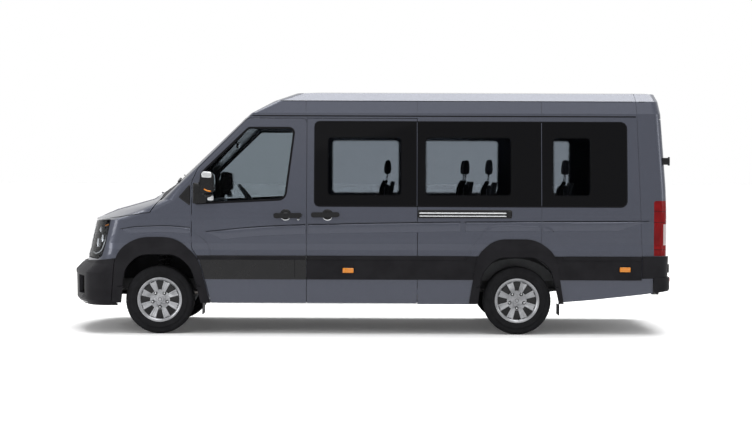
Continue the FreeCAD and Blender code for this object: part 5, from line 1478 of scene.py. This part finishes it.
# Seat sizes are from the cushion's front edge and from the cushion's top.
seatLook = {
    "base": 1.04,
    "reach": 0.54,
    "halfWidth": 0.203,
    "cushion": ((0.016, -0.104, 0.02), (0.01, -0.022, 0.03), (0.2, -0.016, 0.1), (0.405, -0.038, 0.03),
                (0.44, -0.104, 0.02)),
    "back": ((0.428, -0.01, 0.02), (0.466, 0.28, 0.15), (0.494, 0.545, 0.03), (0.566, 0.548, 0.03),
             (0.552, 0.28, 0.15), (0.505, -0.012, 0.02)),
    "rest": ((0.507, 0.64, 0.02), (0.523, 0.795, 0.024), (0.572, 0.798, 0.024), (0.577, 0.64, 0.02)),
    "restHalf": 0.118,
    "voxel": 0.012,
    "pressure": 4.0,
    "steps": 20,
    "cap": 0.024,
    "channels": (-0.115, 0.115),
    "channelDepth": 0.01,
    "channelWidth": 0.008,
    "rows": (("front_seats", -0.71, 0.0, 1, (-0.65, -0.2, 0.43)),
             ("left_seats", 1.275, 0.814, 3, (-0.66,)),
             ("right_seats", 0.203, 0.874, 4, (0.215, 0.66))),
}


def meshPoints(mesh):
    at = np.empty(len(mesh.vertices) * 3)
    mesh.vertices.foreach_get("co", at)
    return at.reshape(-1, 3)


def evaluated(piece):
    return bpy.data.meshes.new_from_object(piece.evaluated_get(bpy.context.evaluated_depsgraph_get()))


def stuffed(name, outline, half, cap):
    # A closed block is remeshed evenly and blown up by pressure from inside. No point may move further than cap.
    look = seatLook
    block = extrusion("block", roundedOutline(outline, 80), -half, half, finishes["seat_fabric"], edge=0.03)
    block.modifiers.new("even", "REMESH").voxel_size = look["voxel"]
    soft = bpy.data.objects.new(name, evaluated(block))
    bpy.data.objects.remove(block)
    bpy.context.scene.collection.objects.link(soft)
    rest = meshPoints(soft.data)
    normals = np.empty(len(rest) * 3)
    soft.data.vertices.foreach_get("normal", normals)
    moved = rest + normals.reshape(-1, 3) * cap * 0.5
    cloth = soft.modifiers.new("cloth", "CLOTH")
    cloth.settings.use_pressure = True
    cloth.settings.uniform_pressure_force = look["pressure"]
    cloth.settings.effector_weights.gravity = 0
    for step in range(1, look["steps"] + 1):
        bpy.context.scene.frame_set(step)
    moved = meshPoints(evaluated(soft))
    soft.modifiers.clear()
    bpy.context.scene.frame_set(1)
    shift = moved - rest
    far = np.linalg.norm(shift, axis=1, keepdims=True)
    soft.data.vertices.foreach_set("co", (rest + shift * np.minimum(1, cap / np.maximum(far, 1e-9))).ravel())
    soft.data.update()
    return soft


def sewn(piece, facing, lines):
    # Channels: depth exp(-(d / w)^2) below the face that looks along facing, where d is the
    # distance across the seat from each seam.
    look = seatLook
    at = meshPoints(piece.data)
    normals = np.empty(len(at) * 3)
    piece.data.vertices.foreach_get("normal", normals)
    facing = np.array(facing, float) / np.linalg.norm(facing)
    share = np.clip(normals.reshape(-1, 3) @ facing * 2, 0, 1)
    for line in lines:
        fall = look["channelDepth"] * np.exp(-((at[:, 1] - line) / look["channelWidth"]) ** 2) * share
        at -= facing * fall[:, None]
    piece.data.vertices.foreach_set("co", at.ravel())
    piece.data.materials.clear()
    piece.data.materials.append(finishes["seat_fabric"])
    piece.data.polygons.foreach_set("use_smooth", [True] * len(piece.data.polygons))
    piece.data.update()
    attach(piece, "body")
    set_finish(piece, "seat_fabric")
    return piece


def piping(name, outline, view, piece):
    # a cord of trim that follows the seam round a pad's face
    line = dropOnto(outline, view, (piece.name,))
    return sweep(name, line + np.array(views[view]["away"]) * 0.001, 0.0035, trimGrey, 8, closed=True,
                 slot="seat_fabric")


def seatShell():
    # back panel: x follows the lean of the pad, with a shallow hollow for the knees behind
    outline = roundedOutline([(-0.195, -0.06, 0.05), (0.195, -0.06, 0.05), (0.185, 0.555, 0.06),
                              (-0.185, 0.555, 0.06)], 96)
    middle = outline.mean(0)

    def layer(share, depth):
        flat = middle + (outline - middle) * share
        x = 0.523 + 0.105 * np.clip(flat[:, 1], -0.1, 0.56) / 0.56 - depth
        x = x - 0.012 * (1 - share ** 2)
        return np.stack([x, flat[:, 0], flat[:, 1]], 1)

    rings = [layer(k, 0.0) for k in (0.04, 0.35, 0.7, 0.93)] + [layer(1.0, 0.004), layer(1.0, 0.04)]
    rings += [layer(k, 0.044) for k in (0.93, 0.5, 0.04)]
    return closedGrid("shell", rings, finishes["interior_plastic"])


def seatFrame():
    # tubes under the cushion, headrest rods, recline knob, belt buckles and a folded armrest
    steel = finishes["seat_frame"]
    parts = []
    for y in (-0.15, 0.15):
        line = bentLine([(0.05, y, -0.128), (0.44, y, -0.128), (0.505, y, -0.06), (0.52, y, 0.02)], 0.05, 24)
        parts.append(sweep("tube", line, 0.014, steel, 10, up=(0, 1, 0)))
    for x in (0.09, 0.4):
        line = [(x, -0.185, -0.13), (x, 0.0, -0.13), (x, 0.185, -0.13)]
        parts.append(sweep("tube", line, 0.013, steel, 10))
    for y in (-0.06, 0.06):
        line = [(0.53, y, 0.52), (0.537, y, 0.59), (0.545, y, 0.68)]
        parts.append(sweep("tube", line, 0.0055, satinSteel, 8, up=(0, 1, 0), slot="seat_frame"))
        parts.append(lathe("guide", [(-0.01, 0.0), (-0.01, 0.014), (0.006, 0.013), (0.01, 0.009), (0.01, 0.0)],
                           (0.531, y, 0.56), (0.1, 0, 1), black, 20, slot="seat_frame"))
    frameTubes = joined("frame", parts)
    knob = [(0.0, 0.0), (0.0, 0.03), (0.014, 0.028), (0.018, 0.022), (0.018, 0.0)]
    parts = [lathe("knob", knob, (0.49, -0.196, -0.055), (0, -1, 0), black, 24, slot="interior_plastic"),
             softBlock("buckle", (0.44, 0.205, 0.015), (0.03, 0.018, 0.075), black, 4, 12, slot="interior_plastic"),
             softBlock("press", (0.447, 0.205, 0.054), (0.022, 0.012, 0.006), redLens, 4, 12, slot="interior_plastic")]
    stalk = [(0.445, 0.203, -0.11), (0.44, 0.205, -0.05), (0.44, 0.205, 0.0)]
    parts.append(sweep("stalk", stalk, 0.01, black, 8, flatten=0.5, up=(1, 0, 0), slot="interior_plastic"))
    arm = bentLine([(0.54, -0.214, 0.15), (0.42, -0.214, 0.168), (0.22, -0.214, 0.16), (0.19, -0.214, 0.14)],
                   0.06, 26)
    wide = np.interp(np.linspace(0, 1, 26), (0, 0.15, 0.85, 1), (0.018, 0.022, 0.022, 0.012))
    parts.append(sweep("arm", arm, wide, finishes["interior_plastic"], 12, flatten=0.75, up=(0, 0, 1)))
    fittings = joined("fittings", parts)
    belt = [(0.515, -0.188, 0.56), (0.478, -0.205, 0.5), (0.452, -0.212, 0.3), (0.43, -0.216, 0.08),
            (0.425, -0.214, -0.08)]
    line = bentLine(belt, 0.06, 30)
    strap = sweep("belt", line, 0.023, rubber, 8, flatten=0.06, up=(0.1, 1.0, 0.0), slot="seat_fabric")
    return [frameTubes, fittings, strap]


def makeSeats():
    look = seatLook
    half = look["halfWidth"]
    cushion = sewn(stuffed("cushion", look["cushion"], half, look["cap"]), (0, 0, 1), look["channels"])
    back = sewn(stuffed("backPad", look["back"], half, look["cap"]), (-1, 0, 0.12), look["channels"])
    rest = sewn(stuffed("headrest", look["rest"], look["restHalf"], look["cap"] * 0.7), (-1, 0, 0.1), ())
    ringCushion = roundedBox(0.03, -half * 0.93, 0.4, half * 0.93, 0.05, 110)
    ringBack = roundedOutline([(-half * 0.93, 0.03, 0.05), (half * 0.93, 0.03, 0.05), (half * 0.93, 0.515, 0.06),
                               (-half * 0.93, 0.515, 0.06)], 110)
    cords = joined("piping", [piping("cordCushion", ringCushion, "top", cushion),
                              piping("cordBack", ringBack, "front", back)])
    soft = [cushion, back, rest]
    hard = [cords, seatShell()] + seatFrame()
    for node, first, pitch, count, centres in look["rows"]:
        number = 0
        for row in range(count):
            for across in centres:
                number += 1
                word = "".join(w.capitalize() for w in node.split("_"))[:-1] + str(number)
                along = first + row * pitch - look["reach"]
                for piece in soft + hard:
                    twin = copied(piece, piece.name + word, "body", along, False, across, look["base"])
                    if piece is cushion and number == 1:
                        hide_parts(node)
    for piece in soft + hard:
        bpy.data.objects.remove(piece)


def makeDashboard():
    slot, plastic = "interior_plastic", finishes["interior_plastic"]
    nodes = ("dashboard",)
    softBlock("binnacle", (-1.735, 0.43, 1.35), (0.23, 0.4, 0.095), plastic, 3.2, -12)
    parts = []
    for y in (0.34, 0.52):
        centre = (-1.618, y, 1.322)
        parts.append(lathe("dialRim", [(-0.012, 0.056), (0.008, 0.056), (0.01, 0.06), (-0.012, 0.062)], centre,
                           (1, 0, 0.2), satinSteel, 40, slot=slot))
        parts.append(lathe("dialFace", [(-0.012, 0.0), (-0.004, 0.0), (-0.004, 0.056), (-0.012, 0.056)], centre,
                           (1, 0, 0.2), black, 40, slot=slot))
        needle = [(-1.612, y, 1.322), (-1.612, y - 0.02, 1.35)]
        parts.append(sweep("needle", needle, (0.0022, 0.0008), redLens, 6, up=(1, 0, 0), slot=slot))
    joined("dials", parts)
    screen = roundedBox(-0.12, 1.13, 0.12, 1.262, 0.012, 100)
    pad("screen", screen, 0.006, "rear", nodes, black, rim=0.06)
    ribbon("screenRim", screen, 0.01, 0.008, "rear", nodes, plastic, closed=True)
    for number, y in enumerate((-0.8, -0.19, 0.19, 0.8)):
        centre = spotOn((y, 1.215), "rear", nodes)
        rim = [(-0.004, 0.036), (0.006, 0.036), (0.01, 0.042), (0.004, 0.047), (-0.004, 0.047)]
        core = [(-0.002, 0.0), (0.002, 0.0), (0.002, 0.036), (-0.002, 0.036)]
        parts = [lathe("ventRim", rim, centre, (1, 0, 0.3), satinSteel, 36, slot=slot),
                 lathe("ventCore", core, centre, (1, 0, 0.3), black, 36, slot=slot)]
        for k in (-0.02, -0.007, 0.007, 0.02):
            line = [centre + (0.004, -0.03, k), centre + (0.004, 0.0, k), centre + (0.004, 0.03, k)]
            parts.append(sweep("blade", line, 0.0035, plastic, 6, flatten=0.4))
        joined("vent%d" % number, parts)
    lid = roundedBox(-0.72, 0.985, -0.29, 1.11, 0.03, 100)
    ribbon("gloveLidLine", lid, 0.005, 0.001, "rear", nodes, rubber, closed=True, slot=slot)
    for row, z in enumerate((1.085, 1.035)):
        for k, y in enumerate(np.linspace(-0.09, 0.09, 5)):
            spot = spotOn((y, z), "rear", nodes)
            softBlock("button%d%d" % (row, k), spot, (0.016, 0.03, 0.022), black, 5, rows=9, columns=16, slot=slot)
    boot = [(0.0, 0.062), (0.01, 0.058), (0.03, 0.04), (0.06, 0.024), (0.085, 0.016), (0.09, 0.0)]
    lathe("gearBoot", [(0.0, 0.0)] + boot, (-1.62, 0.0, 0.998), (-0.1, 0, 1), rubber, 40,
          lambda turn: 0.002 * np.sin(turn * 9)[None] * np.array([0, 0, 1, 1, 1, 0, 0])[:, None], slot=slot)
    stick = [(-1.626, 0.0, 1.06), (-1.634, 0.0, 1.13), (-1.64, 0.0, 1.18)]
    sweep("gearStick", stick, 0.008, satinSteel, 10, up=(0, 1, 0))
    softBlock("gearKnob", (-1.641, 0.0, 1.195), (0.046, 0.046, 0.062), black, 2.6)
    for number, y in enumerate((0.3, 0.43, 0.545)):
        line = bentLine([(-1.76, y, 1.0), (-1.72, y, 0.85), (-1.7, y, 0.74)], 0.05, 14)
        arm = sweep("arm", line, 0.008, finishes["seat_frame"], 8, up=(0, 1, 0))
        foot = softBlock("foot", (-1.694, y, 0.722), (0.026, 0.062, 0.085), rubber, 5, 20, slot="seat_frame")
        joined("pedal%d" % number, [arm, foot])


def makeSteeringWheelDetails():
    # airbag cover and two column stalks
    lean = math.radians(52)
    way = np.array((math.sin(lean), 0, math.cos(lean)))
    centre = np.array((-1.62, 0.43, 1.2)) + way * 0.33
    cover = [(-0.01, 0.0), (-0.01, 0.062), (0.012, 0.064), (0.02, 0.056), (0.024, 0.03), (0.025, 0.0)]
    lathe("airbagCover", cover, centre, way, finishes["interior_plastic"], 48,
          lambda turn: 0.008 * np.cos(turn * 3)[None] * np.array([0, 1, 1, 0.8, 0.3, 0])[:, None])
    side = np.array((0, 1, 0))
    for number, sign in enumerate((-1, 1)):
        root = centre - way * 0.09 + side * 0.04 * sign
        line = [root, root + side * 0.06 * sign, root + side * 0.12 * sign + way * 0.015]
        sweep("columnStalk%d" % number, line, (0.008, 0.007, 0.01), black, 10, flatten=0.6)


def makeLining():
    # the roof lining follows the roof's underside
    along = np.linspace(-1.0, 2.96, 70)
    across = np.linspace(-0.8, 0.8, 33)
    blanket("roofLining", along, across, 0.006, "ceiling", ("roof",), headLining, 0.012)
    for number, x in enumerate((-0.64, 0.47, 1.5, 2.4)):
        y = np.linspace(-0.79, 0.79, 41)
        ribbon("roofRib%d" % number, np.stack([np.full(41, x), y], 1), 0.045, 0.026, "ceiling", ("roof",), headLining,
               flat=True)
    for number, x in enumerate((-0.2, 0.95, 2.1)):
        shape = roundedBox(x - 0.11, -0.055, x + 0.11, 0.055, 0.02, 60)
        pad("cabinLamp%d" % number, shape, 0.034, "ceiling", ("roof",), clearLens, rim=0.25)
    # wall trims below the windows; the wheel housings stay in front of them
    walls = (("Sliding", -0.545, 0.475, 0.64, "sliding_door"), ("Middle", 0.56, 1.08, 0.64, "body_side_left"),
             ("Arch", 1.13, 2.02, 0.87, "body_side_left"), ("Rear", 2.07, 2.66, 0.64, "body_side_left"))
    for word, start, end, low, node in walls:
        trim = blanket("wallTrim%sLeft" % word, np.linspace(start, end, 24), np.linspace(low, 1.325, 28), 0.01,
                       "insideLeft", (node,), trimGrey, 0.002)
        onBothSides(trim)
        line = np.stack([np.linspace(start + 0.03, end - 0.03, 24), np.full(24, 1.23)], 1)
        rail = ribbon("wallRail%sLeft" % word, line, 0.05, 0.03, "insideLeft", (node,), trimGrey)
        onBothSides(rail)
    card = blanket("doorCardLeft", np.linspace(-1.65, -0.745, 26), np.linspace(0.64, 1.32, 26), 0.01,
                   "insideLeft", ("front_door_left",), trimGrey, 0.002, body="front_door_left")
    onBothSides(card)
    pull = bentLine([(-1.25, 1.05), (-1.13, 1.12), (-0.93, 1.12)], 0.05, 30)
    grip = ribbon("doorPullLeft", pull, 0.04, 0.05, "insideLeft", ("front_door_left",),
                  finishes["interior_plastic"], body="front_door_left")
    onBothSides(grip)
    pocket = roundedOutline([(-1.6, 0.68, 0.04), (-0.9, 0.68, 0.04), (-0.9, 0.82, 0.06), (-1.6, 0.8, 0.06)], 90)
    box = pad("doorPocketLeft", pocket, 0.045, "insideLeft", ("front_door_left",), finishes["interior_plastic"],
              rim=0.3, body="front_door_left")
    onBothSides(box)
    blanket("floorMat", np.linspace(-1.5, 2.96, 90), np.linspace(-0.87, 0.87, 40), 0.005, "top", ("floor",),
            floorMat, 0.001)


def makeCabinFittings():
    for word, y in (("Left", -0.4), ("Right", 0.02)):
        line = bentLine([(-0.5, y, 2.47), (-0.44, y, 2.395), (2.56, y, 2.395), (2.62, y, 2.47)], 0.08, 90)
        parts = [sweep("rail", line, 0.013, satinSteel, 12, up=(0, 1, 0))]
        for x in (0.35, 1.15, 1.95):
            parts.append(sweep("post", [(x, y, 2.395), (x, y, 2.43), (x, y, 2.49)], 0.008, satinSteel, 10,
                               up=(0, 1, 0)))
        joined("grabRail" + word, parts)
    pole = [(-0.5, -0.3, 0.605), (-0.5, -0.3, 1.5), (-0.5, -0.3, 2.48)]
    sweep("entrancePole", pole, 0.015, satinSteel, 14, up=(0, 1, 0))
    glass = spotOn((0.0, 2.1), "front", ("windscreen",))
    foot = glass + (0.02, 0, -0.004)
    head = foot + (0.062, 0, -0.105)
    parts = [sweep("stem", [foot, foot + (0.03, 0, -0.05), head], 0.007, black, 8, up=(0, 1, 0)),
             softBlock("case", head, (0.03, 0.24, 0.07), black, 3.5, 8)]
    joined("cabinMirror", parts)
    softBlock("cabinMirrorGlass", head + (0.012, 0, -0.001), (0.01, 0.226, 0.058), mirrorGlass, 5, 8)
    for word, y in (("Left", -0.42), ("Right", 0.42)):
        softBlock("sunVisor" + word, (-1.19, y, 2.262), (0.175, 0.42, 0.018), headLining, 6, -14)


makeSeats()
makeDashboard()
makeSteeringWheelDetails()
makeLining()
makeCabinFittings()
print("interior made")


# Running gear and wheel housings: dampers, anti-roll bar, spring clips, tank straps and inner wings

def coilSpring(name, foot, head, radius, wire, turns):
    # a helix between two seats: radius r at angle 2 pi turns t, height along the axis by t
    t = np.linspace(0, 1, int(turns * 20))
    foot, head = np.array(foot, float), np.array(head, float)
    angle = 2 * np.pi * turns * t
    ring = np.stack([radius * np.cos(angle), radius * np.sin(angle), np.zeros(len(t))], 1)
    return sweep(name, foot + (head - foot) * t[:, None] + ring, wire, finishes["chassis_black"], 8, up=(0, 0, 1))


def makeDampers():
    dark = finishes["chassis_black"]
    # front struts between the lower arm and the inner wing
    foot, head = np.array((-2.19, -0.61, 0.3)), np.array((-2.19, -0.56, 0.82))
    way = (head - foot) / np.linalg.norm(head - foot)
    tube = [(0.0, 0.0), (0.0, 0.024), (0.24, 0.026), (0.245, 0.03), (0.25, 0.012), (0.5, 0.012), (0.505, 0.0)]
    parts = [lathe("tube", tube, foot, way, dark, 24),
             coilSpring("coil", foot + way * 0.235, head, 0.058, 0.0075, 6)]
    for at in (0.225, 0.5):
        cup = [(at, 0.0), (at, 0.066), (at + 0.006, 0.068), (at + 0.01, 0.06), (at + 0.01, 0.0)]
        parts.append(lathe("cup", cup, foot, way, dark, 32))
    onBothSides(joined("frontStrutLeft", parts), "body")
    # rear dampers lean forward from the axle to the frame rails
    foot, head = np.array((1.62, -0.64, 0.29)), np.array((1.3, -0.56, 0.62))
    way = (head - foot) / np.linalg.norm(head - foot)
    long = np.linalg.norm(head - foot)
    tube = [(0.0, 0.0), (0.0, 0.016), (0.02, 0.028), (0.23, 0.028), (0.232, 0.034), (long - 0.02, 0.034),
            (long, 0.016), (long, 0.0)]
    parts = [lathe("tube", tube, foot, way, dark, 28)]
    for place in (foot, head):
        eye = [(-0.024, 0.01), (-0.024, 0.022), (0.024, 0.022), (0.024, 0.01)]
        parts.append(lathe("eye", eye, place, (0, 1, 0), dark, 24))
    onBothSides(joined("rearDamperLeft", parts), "body")
    bar = bentLine([(1.93, -0.6, 0.4), (1.76, -0.6, 0.33), (1.72, -0.5, 0.33), (1.72, 0.5, 0.33),
                    (1.76, 0.6, 0.33), (1.93, 0.6, 0.4)], 0.06, 90)
    sweep("rearAntiRollBar", bar, 0.012, dark, 10)
    bar = bentLine([(-2.33, -0.56, 0.3), (-2.42, -0.54, 0.35), (-2.44, -0.42, 0.37), (-2.44, 0.42, 0.37),
                    (-2.42, 0.54, 0.35), (-2.33, 0.56, 0.3)], 0.06, 90)
    sweep("frontAntiRollBar", bar, 0.012, dark, 10)


def makeSpringClips():
    # U-bolts hold the axle to each leaf spring; straps keep the leaves together
    low, high = (np.array(c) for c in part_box("leaf_spring_left"))
    middle = (low + high) / 2
    parts = []
    for x in (1.495, 1.625):
        line = bentLine([(x, low[1] - 0.01, 0.3), (x, low[1] - 0.01, 0.5), (x, high[1] + 0.01, 0.5),
                         (x, high[1] + 0.01, 0.3)], 0.03, 40)
        parts.append(sweep("clip", line, 0.0085, satinSteel, 10, up=(1, 0, 0), slot="cast_metal"))
        for y in (low[1] - 0.01, high[1] + 0.01):
            nut = [(0.0, 0.0), (0.0, 0.015), (0.016, 0.015), (0.018, 0.0)]
            parts.append(lathe("nut", nut, (x, y, 0.3), (0, 0, 1), satinSteel, 6, slot="cast_metal"))
    onBothSides(joined("springClipsLeft", parts), "body")
    plate = extrusion("springPlateLeft", roundedBox(1.465, 0.318, 1.655, 0.336, 0.008, 60), middle[1] - 0.062,
                      middle[1] + 0.062, finishes["chassis_black"])
    onBothSides(plate, "body")


def makeTankStraps():
    low, high = (np.array(c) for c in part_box("fuel_tank"))
    for number, share in enumerate((0.25, 0.75)):
        x = low[0] + (high[0] - low[0]) * share
        line = bentLine([(x, low[1] - 0.003, high[2]), (x, low[1] - 0.003, low[2] - 0.003),
                         (x, high[1] + 0.003, low[2] - 0.003), (x, high[1] + 0.003, high[2])], 0.05, 60)
        sweep("tankStrap%d" % number, line, 0.018, finishes["chassis_black"], 8, flatten=0.14, up=(1, 0, 0))


# Inner wings over the front wheels: the arch's centre is (along, up); wall and edge say how far to
# the side the wall stands and the arch ends.
wingLook = {
    "centre": (-2.19, 0.356),
    "radius": 0.512,
    "wall": -0.48,
    "edge": -0.955,
}


def makeInnerWings():
    # A wall with three pressed ribs closes the wheel's housing towards the frame. Its upper edge
    # follows the arch: z = z0 + sqrt(r^2 - (x - x0)^2).
    (x0, z0), radius, inner = wingLook["centre"], wingLook["radius"], wingLook["wall"]
    along = np.linspace(-0.985, 0.985, 61) * radius
    top = z0 + np.sqrt(radius ** 2 - along ** 2)
    low = np.full(61, 0.545)
    share = np.linspace(0, 1, 15)
    z = low[:, None] + (np.maximum(top, 0.56) - low)[:, None] * share
    rib = 0.006 * np.exp(-((along[:, None] - np.array([-0.28, 0.0, 0.28])) / 0.05) ** 2).sum(1)
    near = np.stack([np.broadcast_to((x0 + along)[:, None], z.shape),
                     np.broadcast_to((inner - rib)[:, None], z.shape), z], 2)
    far = near + (0, 0.012, 0)
    rings = np.concatenate([near, far[:, ::-1]], 1)
    wall = closedGrid("innerWall", rings, cladding)
    turn = np.linspace(0.14, np.pi - 0.14, 61)
    y = np.linspace(inner, wingLook["edge"], 16)
    wave = 0.004 * np.cos(np.linspace(0, 6 * np.pi, 16))
    shell = []
    for extra in (0.0, 0.006):
        r = radius + extra - wave
        shell.append(np.stack([x0 + r * np.cos(turn)[:, None], np.broadcast_to(y, (61, 16)),
                               z0 + r * np.sin(turn)[:, None]], 2))
    rings = np.concatenate([shell[0], shell[1][:, ::-1]], 1)
    arch = closedGrid("arch", rings, cladding)
    onBothSides(joined("innerWingFrontLeft", [wall, arch]), "body")


def makeEngineTray():
    # flat shields under the frame rails: one below the engine, one across the nose
    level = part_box("frame_rails")[0][2] - 0.006
    for name, middle, size in (("engineTray", (-2.575, 0, level), (0.95, 1.01, 0.016)),
                               ("noseTray", (-2.895, 0, level - 0.003), (0.31, 1.72, 0.016))):
        softBlock(name, middle, size, finishes["chassis_black"], 14)


def makeUnderside():
    makeDampers()
    makeSpringClips()
    makeTankStraps()
    makeInnerWings()
    fins = []
    for z in np.arange(0.575, 1.03, 0.012):
        line = [(-2.899, -0.44, z), (-2.899, 0.0, z), (-2.899, 0.44, z)]
        fins.append(sweep("fin", line, 0.0022, finishes["cast_metal"], 6))
    joined("radiatorFins", fins)


makeUnderside()
makeEngineTray()
print("running gear made")




# Floor, light and camera

stageLook = {
    "floorSize": 400.0,
    "floorColor": 0.97,
    "bounceColor": 0.5,
    "lift": 0.05,
    "worldStrength": 0.36,
}


def unseenLight(tree):
    # 1 for rays from the camera, for mirror rays and for rays through glass
    path = tree.nodes.new("ShaderNodeLightPath")
    total = path.outputs["Is Camera Ray"]
    for kind in ("Is Glossy Ray", "Is Transmission Ray"):
        most = tree.nodes.new("ShaderNodeMath")
        most.operation = "MAXIMUM"
        tree.links.new(total, most.inputs[0])
        tree.links.new(path.outputs[kind], most.inputs[1])
        total = most.outputs[0]
    return total


def makeStage():
    half = stageLook["floorSize"] / 2
    corners = np.array([(-half, -half, 0), (half, -half, 0), (half, half, 0), (-half, half, 0)], float)
    mesh = bpy.data.meshes.new("studioFloor")
    mesh.from_pydata([tuple(c) for c in corners], [], [(0, 1, 2, 3)])
    floor = bpy.data.objects.new("studioFloor", mesh)
    bpy.context.scene.collection.objects.link(floor)
    material = newMaterial("studioFloor", (stageLook["floorColor"],) * 3, 0.8, Specular_IOR_Level=0.1)
    shader = material.node_tree.nodes["Principled BSDF"]
    shader.inputs["Emission Color"].default_value = (1, 1, 1, 1)
    seen = unseenLight(material.node_tree)
    feed(material, "Emission Strength", reckon(material, "MULTIPLY", seen, stageLook["lift"]))
    # the floor throws less light back on the object than it shows
    span = material.node_tree.nodes.new("ShaderNodeMapRange")
    material.node_tree.links.new(seen, span.inputs["Value"])
    span.inputs["To Min"].default_value = stageLook["bounceColor"]
    span.inputs["To Max"].default_value = stageLook["floorColor"]
    feed(material, "Base Color", span.outputs[0])
    mesh.materials.append(material)


def makeWorld():
    world = bpy.data.worlds.new("studioWorld")
    bpy.context.scene.world = world
    world.use_nodes = True
    nodes, links = world.node_tree.nodes, world.node_tree.links
    back = nodes["Background"]
    back.inputs["Color"].default_value = (1, 1, 1, 1)
    seen = nodes.new("ShaderNodeMapRange")
    links.new(unseenLight(world.node_tree), seen.inputs["Value"])
    seen.inputs["To Min"].default_value = stageLook["worldStrength"]
    seen.inputs["To Max"].default_value = 1.0
    links.new(seen.outputs[0], back.inputs["Strength"])


# Suns with wide discs stand for large soft lamps: (where from, strength, width in degrees).
suns = {
    "overhead": ((0.1, -0.1, 1.0), 1.85, 45),
    "side": ((-0.15, -1.0, 0.75), 0.32, 50),
    "rear": ((1.0, 0.8, 0.8), 0.2, 50),
}
# Soft boxes: (place, aim, size, watts).
boxes = {
    "roofBox": ((0, 3.2, 12.0), (0, 0.6, 2.0), (16.0, 6.0), 1350),
    "noseBox": ((-9.0, -5.5, 3.6), (-3.0, -0.8, 0.9), (2.4, 4.0), 210),
    "tailBox": ((10.0, -4.0, 3.6), (3.0, -0.8, 1.3), (2.4, 4.0), 100),
}


def aimAt(thing, place, target):
    thing.location = place
    thing.rotation_mode = "QUATERNION"
    thing.rotation_quaternion = (Vector(target) - Vector(place)).to_track_quat("-Z", "Y")


def addLamp(name, light, place, target):
    holder = bpy.data.objects.new(name, light)
    bpy.context.scene.collection.objects.link(holder)
    aimAt(holder, place, target)


def makeLamps():
    for name, (place, strength, width) in suns.items():
        light = bpy.data.lights.new(name, "SUN")
        light.energy = strength
        light.angle = math.radians(width)
        addLamp(name, light, Vector(place) * 20, (0, 0, 0))
    for name, (place, target, size, watts) in boxes.items():
        light = bpy.data.lights.new(name, "AREA")
        light.shape = "RECTANGLE"
        light.size, light.size_y = size
        light.energy = watts
        addLamp(name, light, place, target)


cameraLook = {
    "place": (0.077, -18.53, 1.715),
    "tiltDegrees": 1.41,
    "rollDegrees": 0.2,
    "lens": 80.2,
}


def makeCamera():
    camera = bpy.data.cameras.new("camera")
    camera.lens = cameraLook["lens"]
    camera.sensor_width = 36
    camera.clip_end = 500
    holder = bpy.data.objects.new("camera", camera)
    bpy.context.scene.collection.objects.link(holder)
    place = cameraLook["place"]
    drop = math.tan(math.radians(cameraLook["tiltDegrees"])) * 10
    aimAt(holder, place, (place[0], place[1] + 10, place[2] - drop))
    turn = Quaternion((0, 0, 1), math.radians(cameraLook["rollDegrees"]))
    holder.rotation_quaternion = holder.rotation_quaternion @ turn
    bpy.context.scene.camera = holder


makeStage()
makeWorld()
makeLamps()
makeCamera()
bpy.context.scene.view_settings.view_transform = "Standard"
print("studio made")
